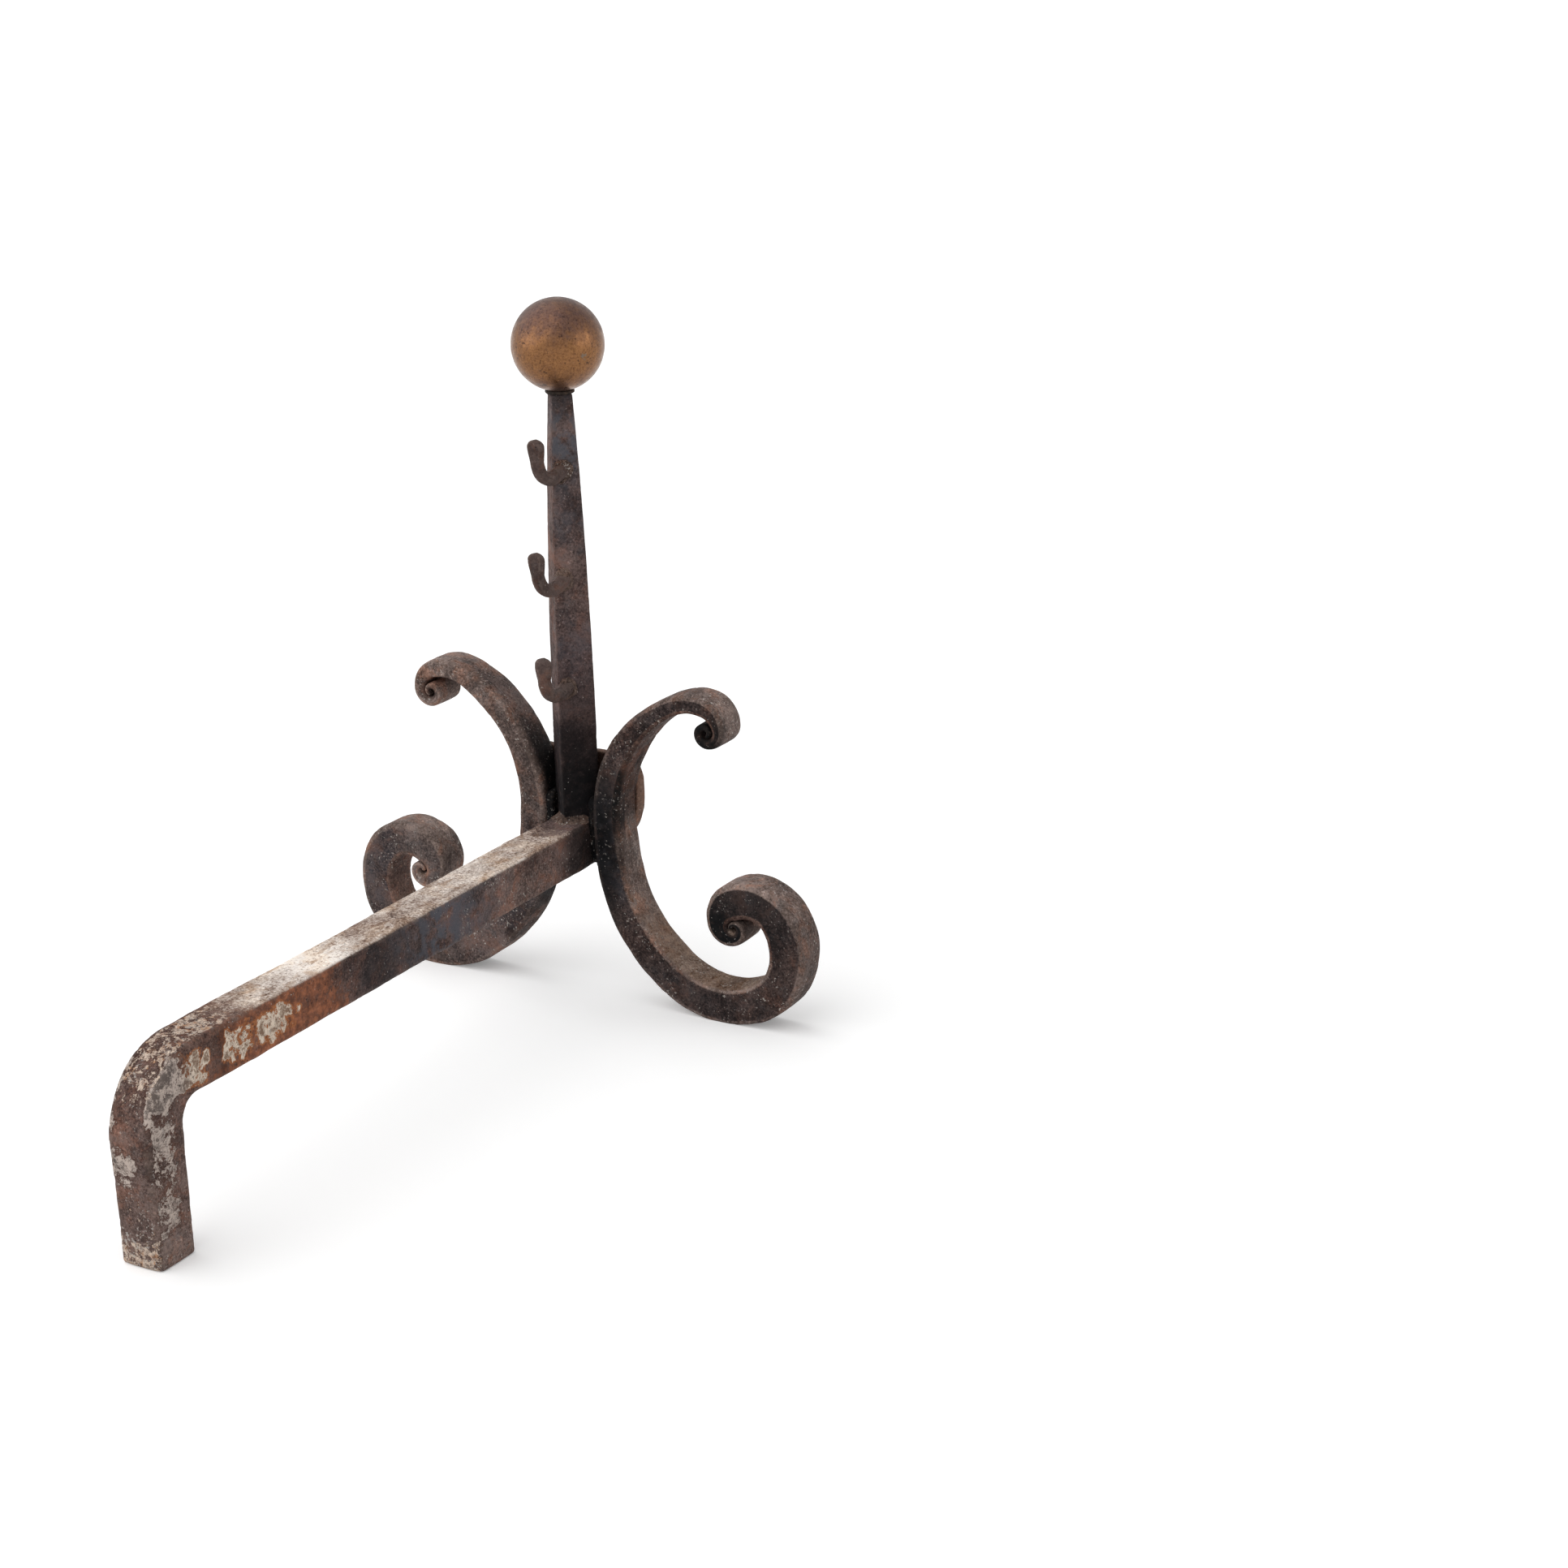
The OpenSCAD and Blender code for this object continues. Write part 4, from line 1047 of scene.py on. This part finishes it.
def upright_weld():
    """The crusty fillet round the upright's foot: rings from the square's outline plus the weld's leg
    down on the bar, up a hollow curve to the outline, no wider than the bar."""
    angle = angles(180)
    square = UPRIGHT_W / np.sqrt(2) / (np.abs(np.cos(angle)) + np.abs(np.sin(angle)))
    rise = np.concatenate([[-0.4, -0.2], np.linspace(0, 1, 16)])
    height = np.maximum(rise, 0) * BASE_WELD + np.minimum(rise, 0)
    reach = BASE_WELD * 1.25 * (1 - np.maximum(rise, 0)) ** 1.7 - 0.2
    radius = square + reach[:, None]
    rings = np.stack([radius * np.cos(angle), radius * np.sin(angle),
                      UPRIGHT_LOW[2] + height[:, None] + 0 * radius], axis=-1)
    crust = 0.7 * grit(rings, 4.5, 91) + 0.4 * grit(rings, 1.9, 92)
    keep = np.sin(np.pi * np.clip(rise, 0, 1))[:, None] ** 0.5
    rings[..., 2] += crust * keep
    over = ease(np.abs(rings[..., 0]), 9, 15.5)
    rings[..., 2] = UPRIGHT_LOW[2] + (rings[..., 2] - UPRIGHT_LOW[2]) * (1 - 0.85 * over)
    rings[..., :2] *= (1 + 0.03 * crust * (0.4 + keep))[..., None]
    half = BAR_W / 2 - 0.3
    rings[..., 0] = np.clip(rings[..., 0], -half, half)
    rings[..., 1] = np.maximum(rings[..., 1], BAR_LOW[1] + 0.5)
    points, faces = skin(rings)
    marks = {"soot_and_shade": 0.30 + 0.35 * ease(points[:, 2], BAR_TOP + 1.5, BAR_TOP + 5.5), "ash": 0.2}
    return put_piece("upright_weld_crust", points, faces, marks, "upright_weld", "weld_iron")


# ---- Ball ----


def ball_washer():
    """A thin ragged disc: its outline is a circle with a coarse and a fine noise, its edge is round."""
    radius, thick = (WASHER_HIGH[0] - WASHER_LOW[0]) / 2, WASHER_HIGH[2] - WASHER_LOW[2]

    def outline(angle):
        place = np.stack([10 * np.cos(angle), 10 * np.sin(angle), 0 * angle], axis=-1)
        return radius * (0.97 + 0.05 * grit(place, 5, 7) + 0.03 * grit(place, 1.6, 8))

    bevel = np.linspace(-np.pi / 2, np.pi / 2, 11)
    face_share, rim_share = 0.92, 0.08
    inner = np.linspace(0, face_share, 9)[1:]
    share = np.concatenate([inner, face_share + rim_share * np.cos(bevel), inner[::-1]])
    height = np.concatenate([0 * inner, thick / 2 * (1 + np.sin(bevel)), 0 * inner + thick])
    centre = np.array([0, 0, WASHER_LOW[2]])
    rings = shell_of(outline, share, height, (X, Y, Z), centre)
    rings[..., 2] += 0.25 * grit(rings, 4, 9) * (share[:, None] > 0.5)
    points, faces = skin(rings)
    marks = {"edge": with_ends(bell(share[:, None], 1.0, 0.05), rings), "soot_and_shade": 0.35, "ash": -0.2}
    return put_piece("ball_washer_ragged", points, faces, marks, "ball_washer", "washer_iron")


def ball_finial():
    """A sphere by height and angle, cut flat where it sits, with shallow dents 8 and 19 mm wide and
    a few small dings."""
    radius = BALL_D / 2
    centre = np.array([0, 0, BALL_HIGH[2] - radius])
    seat = np.arcsin(BALL_SEAT_D / BALL_D)
    tilt = np.concatenate([[np.pi - 0.4 * seat], np.linspace(np.pi - seat, 0.004, 150)])
    normal = sphere_grid(tilt, 300)
    rings = centre + radius * normal
    dents = 0.07 * grit(rings, 19, 101) + 0.045 * grit(rings, 8, 102)
    dings = 0.16 * ease(grit(rings, 3.4, 103), 0.62, 0.9)
    rings = rings + normal * (dents - dings)[..., None]
    rings[..., 2] = np.clip(rings[..., 2], BALL_LOW[2], BALL_HIGH[2])
    points, faces = skin(rings)
    above = points[:, 2] - centre[2]
    # Tarnish on the top; the band 22 mm below the middle is painted shade; the pale band by the seat is a
    # painted reflection
    marks = {"tarnish_and_shade": 0.75 * ease(above, -4, 24) + 0.25 * bell(above, -22, 7),
             "seat": 0.7 * ease(points[:, 2] - BALL_LOW[2], 6.0, 1.0)}
    return put_piece("ball_finial_aged", points, faces, marks, "ball_finial", "ball_brass")


log_bar()
upright()
scroll("right_scroll", 1, 41)
scroll("left_scroll", -1, 47)
front_boss()
for number, hook_name in enumerate(HOOKS):
    hook(hook_name, 53 + 4 * number)
hook_welds()
junction_welds()
upright_weld()
ball_washer()
ball_finial()

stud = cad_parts["ball_stud"]
stud.data.materials.clear()
stud.data.materials.append(finishes["stud_iron"])


# ---- Floor, light and camera ----


def seen_white(n):
    """1 for rays from the camera, in reflections and through glass, else 0."""
    path = n.node("LightPath").outputs
    total = n.add(path["Is Camera Ray"], path["Is Glossy Ray"], path["Is Transmission Ray"])
    return n.math("MINIMUM", total, 1.0)


def white_floor():
    """A wide sheet at z = 0. To the camera it is white and glows a little, so that only the object's
    shadow shows on it; the object gets a greyer light from it."""
    mesh = bpy.data.meshes.new("floor")
    # In metres, wide enough to fill the picture
    half = 60.0
    mesh.from_pydata([(-half, -half, 0), (half, -half, 0), (half, half, 0), (-half, half, 0)], [],
                     [(0, 1, 2, 3)])
    floor = bpy.data.objects.new("floor", mesh)
    bpy.context.scene.collection.objects.link(floor)
    material = bpy.data.materials.new("floor_white")
    n = bare_nodes(material)
    seen = seen_white(n)
    tone = n.blend(seen, colour(0.75, 0.75, 0.75), colour(1.0, 1.0, 1.0))
    paper = n.node("BsdfDiffuse", {"Color": tone}).outputs[0]
    glow = n.node("Emission", {"Strength": n.times(seen, 0.165)}).outputs[0]
    both = n.node("AddShader", {0: paper, 1: glow}).outputs[0]
    n.node("OutputMaterial", {"Surface": both})
    mesh.materials.append(material)


def stand(name, data, right, up, back, place):
    """Puts a lamp or a camera at a place in metres. Right, up and back are its own axes."""
    made = bpy.data.objects.new(name, data)
    bpy.context.scene.collection.objects.link(made)
    made.matrix_world = Matrix(np.vstack([np.column_stack([right, up, back, place]),
                                          [0, 0, 0, 1]]).tolist())
    return made


def studio_light():
    """An even white room, half as bright to the object as to the camera, a large soft key lamp from
    above on the left of the picture, and a weak lamp low on either side."""
    world = bpy.data.worlds.new("studio")
    bpy.context.scene.world = world
    n = bare_nodes(world)
    strength = n.ramp(seen_white(n), 0.0, 1.0, 0.5, 1.0)
    room = n.node("Background", {"Color": colour(1, 1, 1), "Strength": strength}).outputs[0]
    n.node("OutputWorld", {"Surface": room})
    # The direction towards each lamp, its strength and its width in degrees
    lamps = {"key": ((0.50, 0.42, 0.76), 1.85, 100), "left": ((0.70, 0.70, 0.05), 0.25, 45),
             "right": ((-0.966, -0.243, 0.10), 0.54, 45)}
    for name, (toward, strength, wide) in lamps.items():
        lamp = bpy.data.lights.new(name, "SUN")
        lamp.energy = strength
        lamp.angle = np.radians(wide)
        z = np.array(toward) / np.linalg.norm(toward)
        x = np.cross(Z, z)
        x /= np.linalg.norm(x)
        stand(name, lamp, x, np.cross(z, x), z, 2 * z)


def camera():
    """The view of the photograph: behind the andiron, to its left, 19 degrees down, with a slight
    roll about the line of sight."""
    place = np.array([-1084.7, 1612.4, 809.2]) / METRE
    forward = np.array([0.4677, -0.8234, -0.3213])
    roll = np.radians(1.14)
    forward /= np.linalg.norm(forward)
    right = np.cross(forward, Z)
    right /= np.linalg.norm(right)
    up = np.cross(right, forward)
    right, up = right * np.cos(roll) - up * np.sin(roll), right * np.sin(roll) + up * np.cos(roll)
    data = bpy.data.cameras.new("camera")
    data.sensor_width = 36.0
    data.lens = 66.15
    data.clip_end = 200.0
    bpy.context.scene.camera = stand("camera", data, right, up, -forward, place)


white_floor()
studio_light()
camera()
bpy.context.scene.view_settings.view_transform = "Standard"
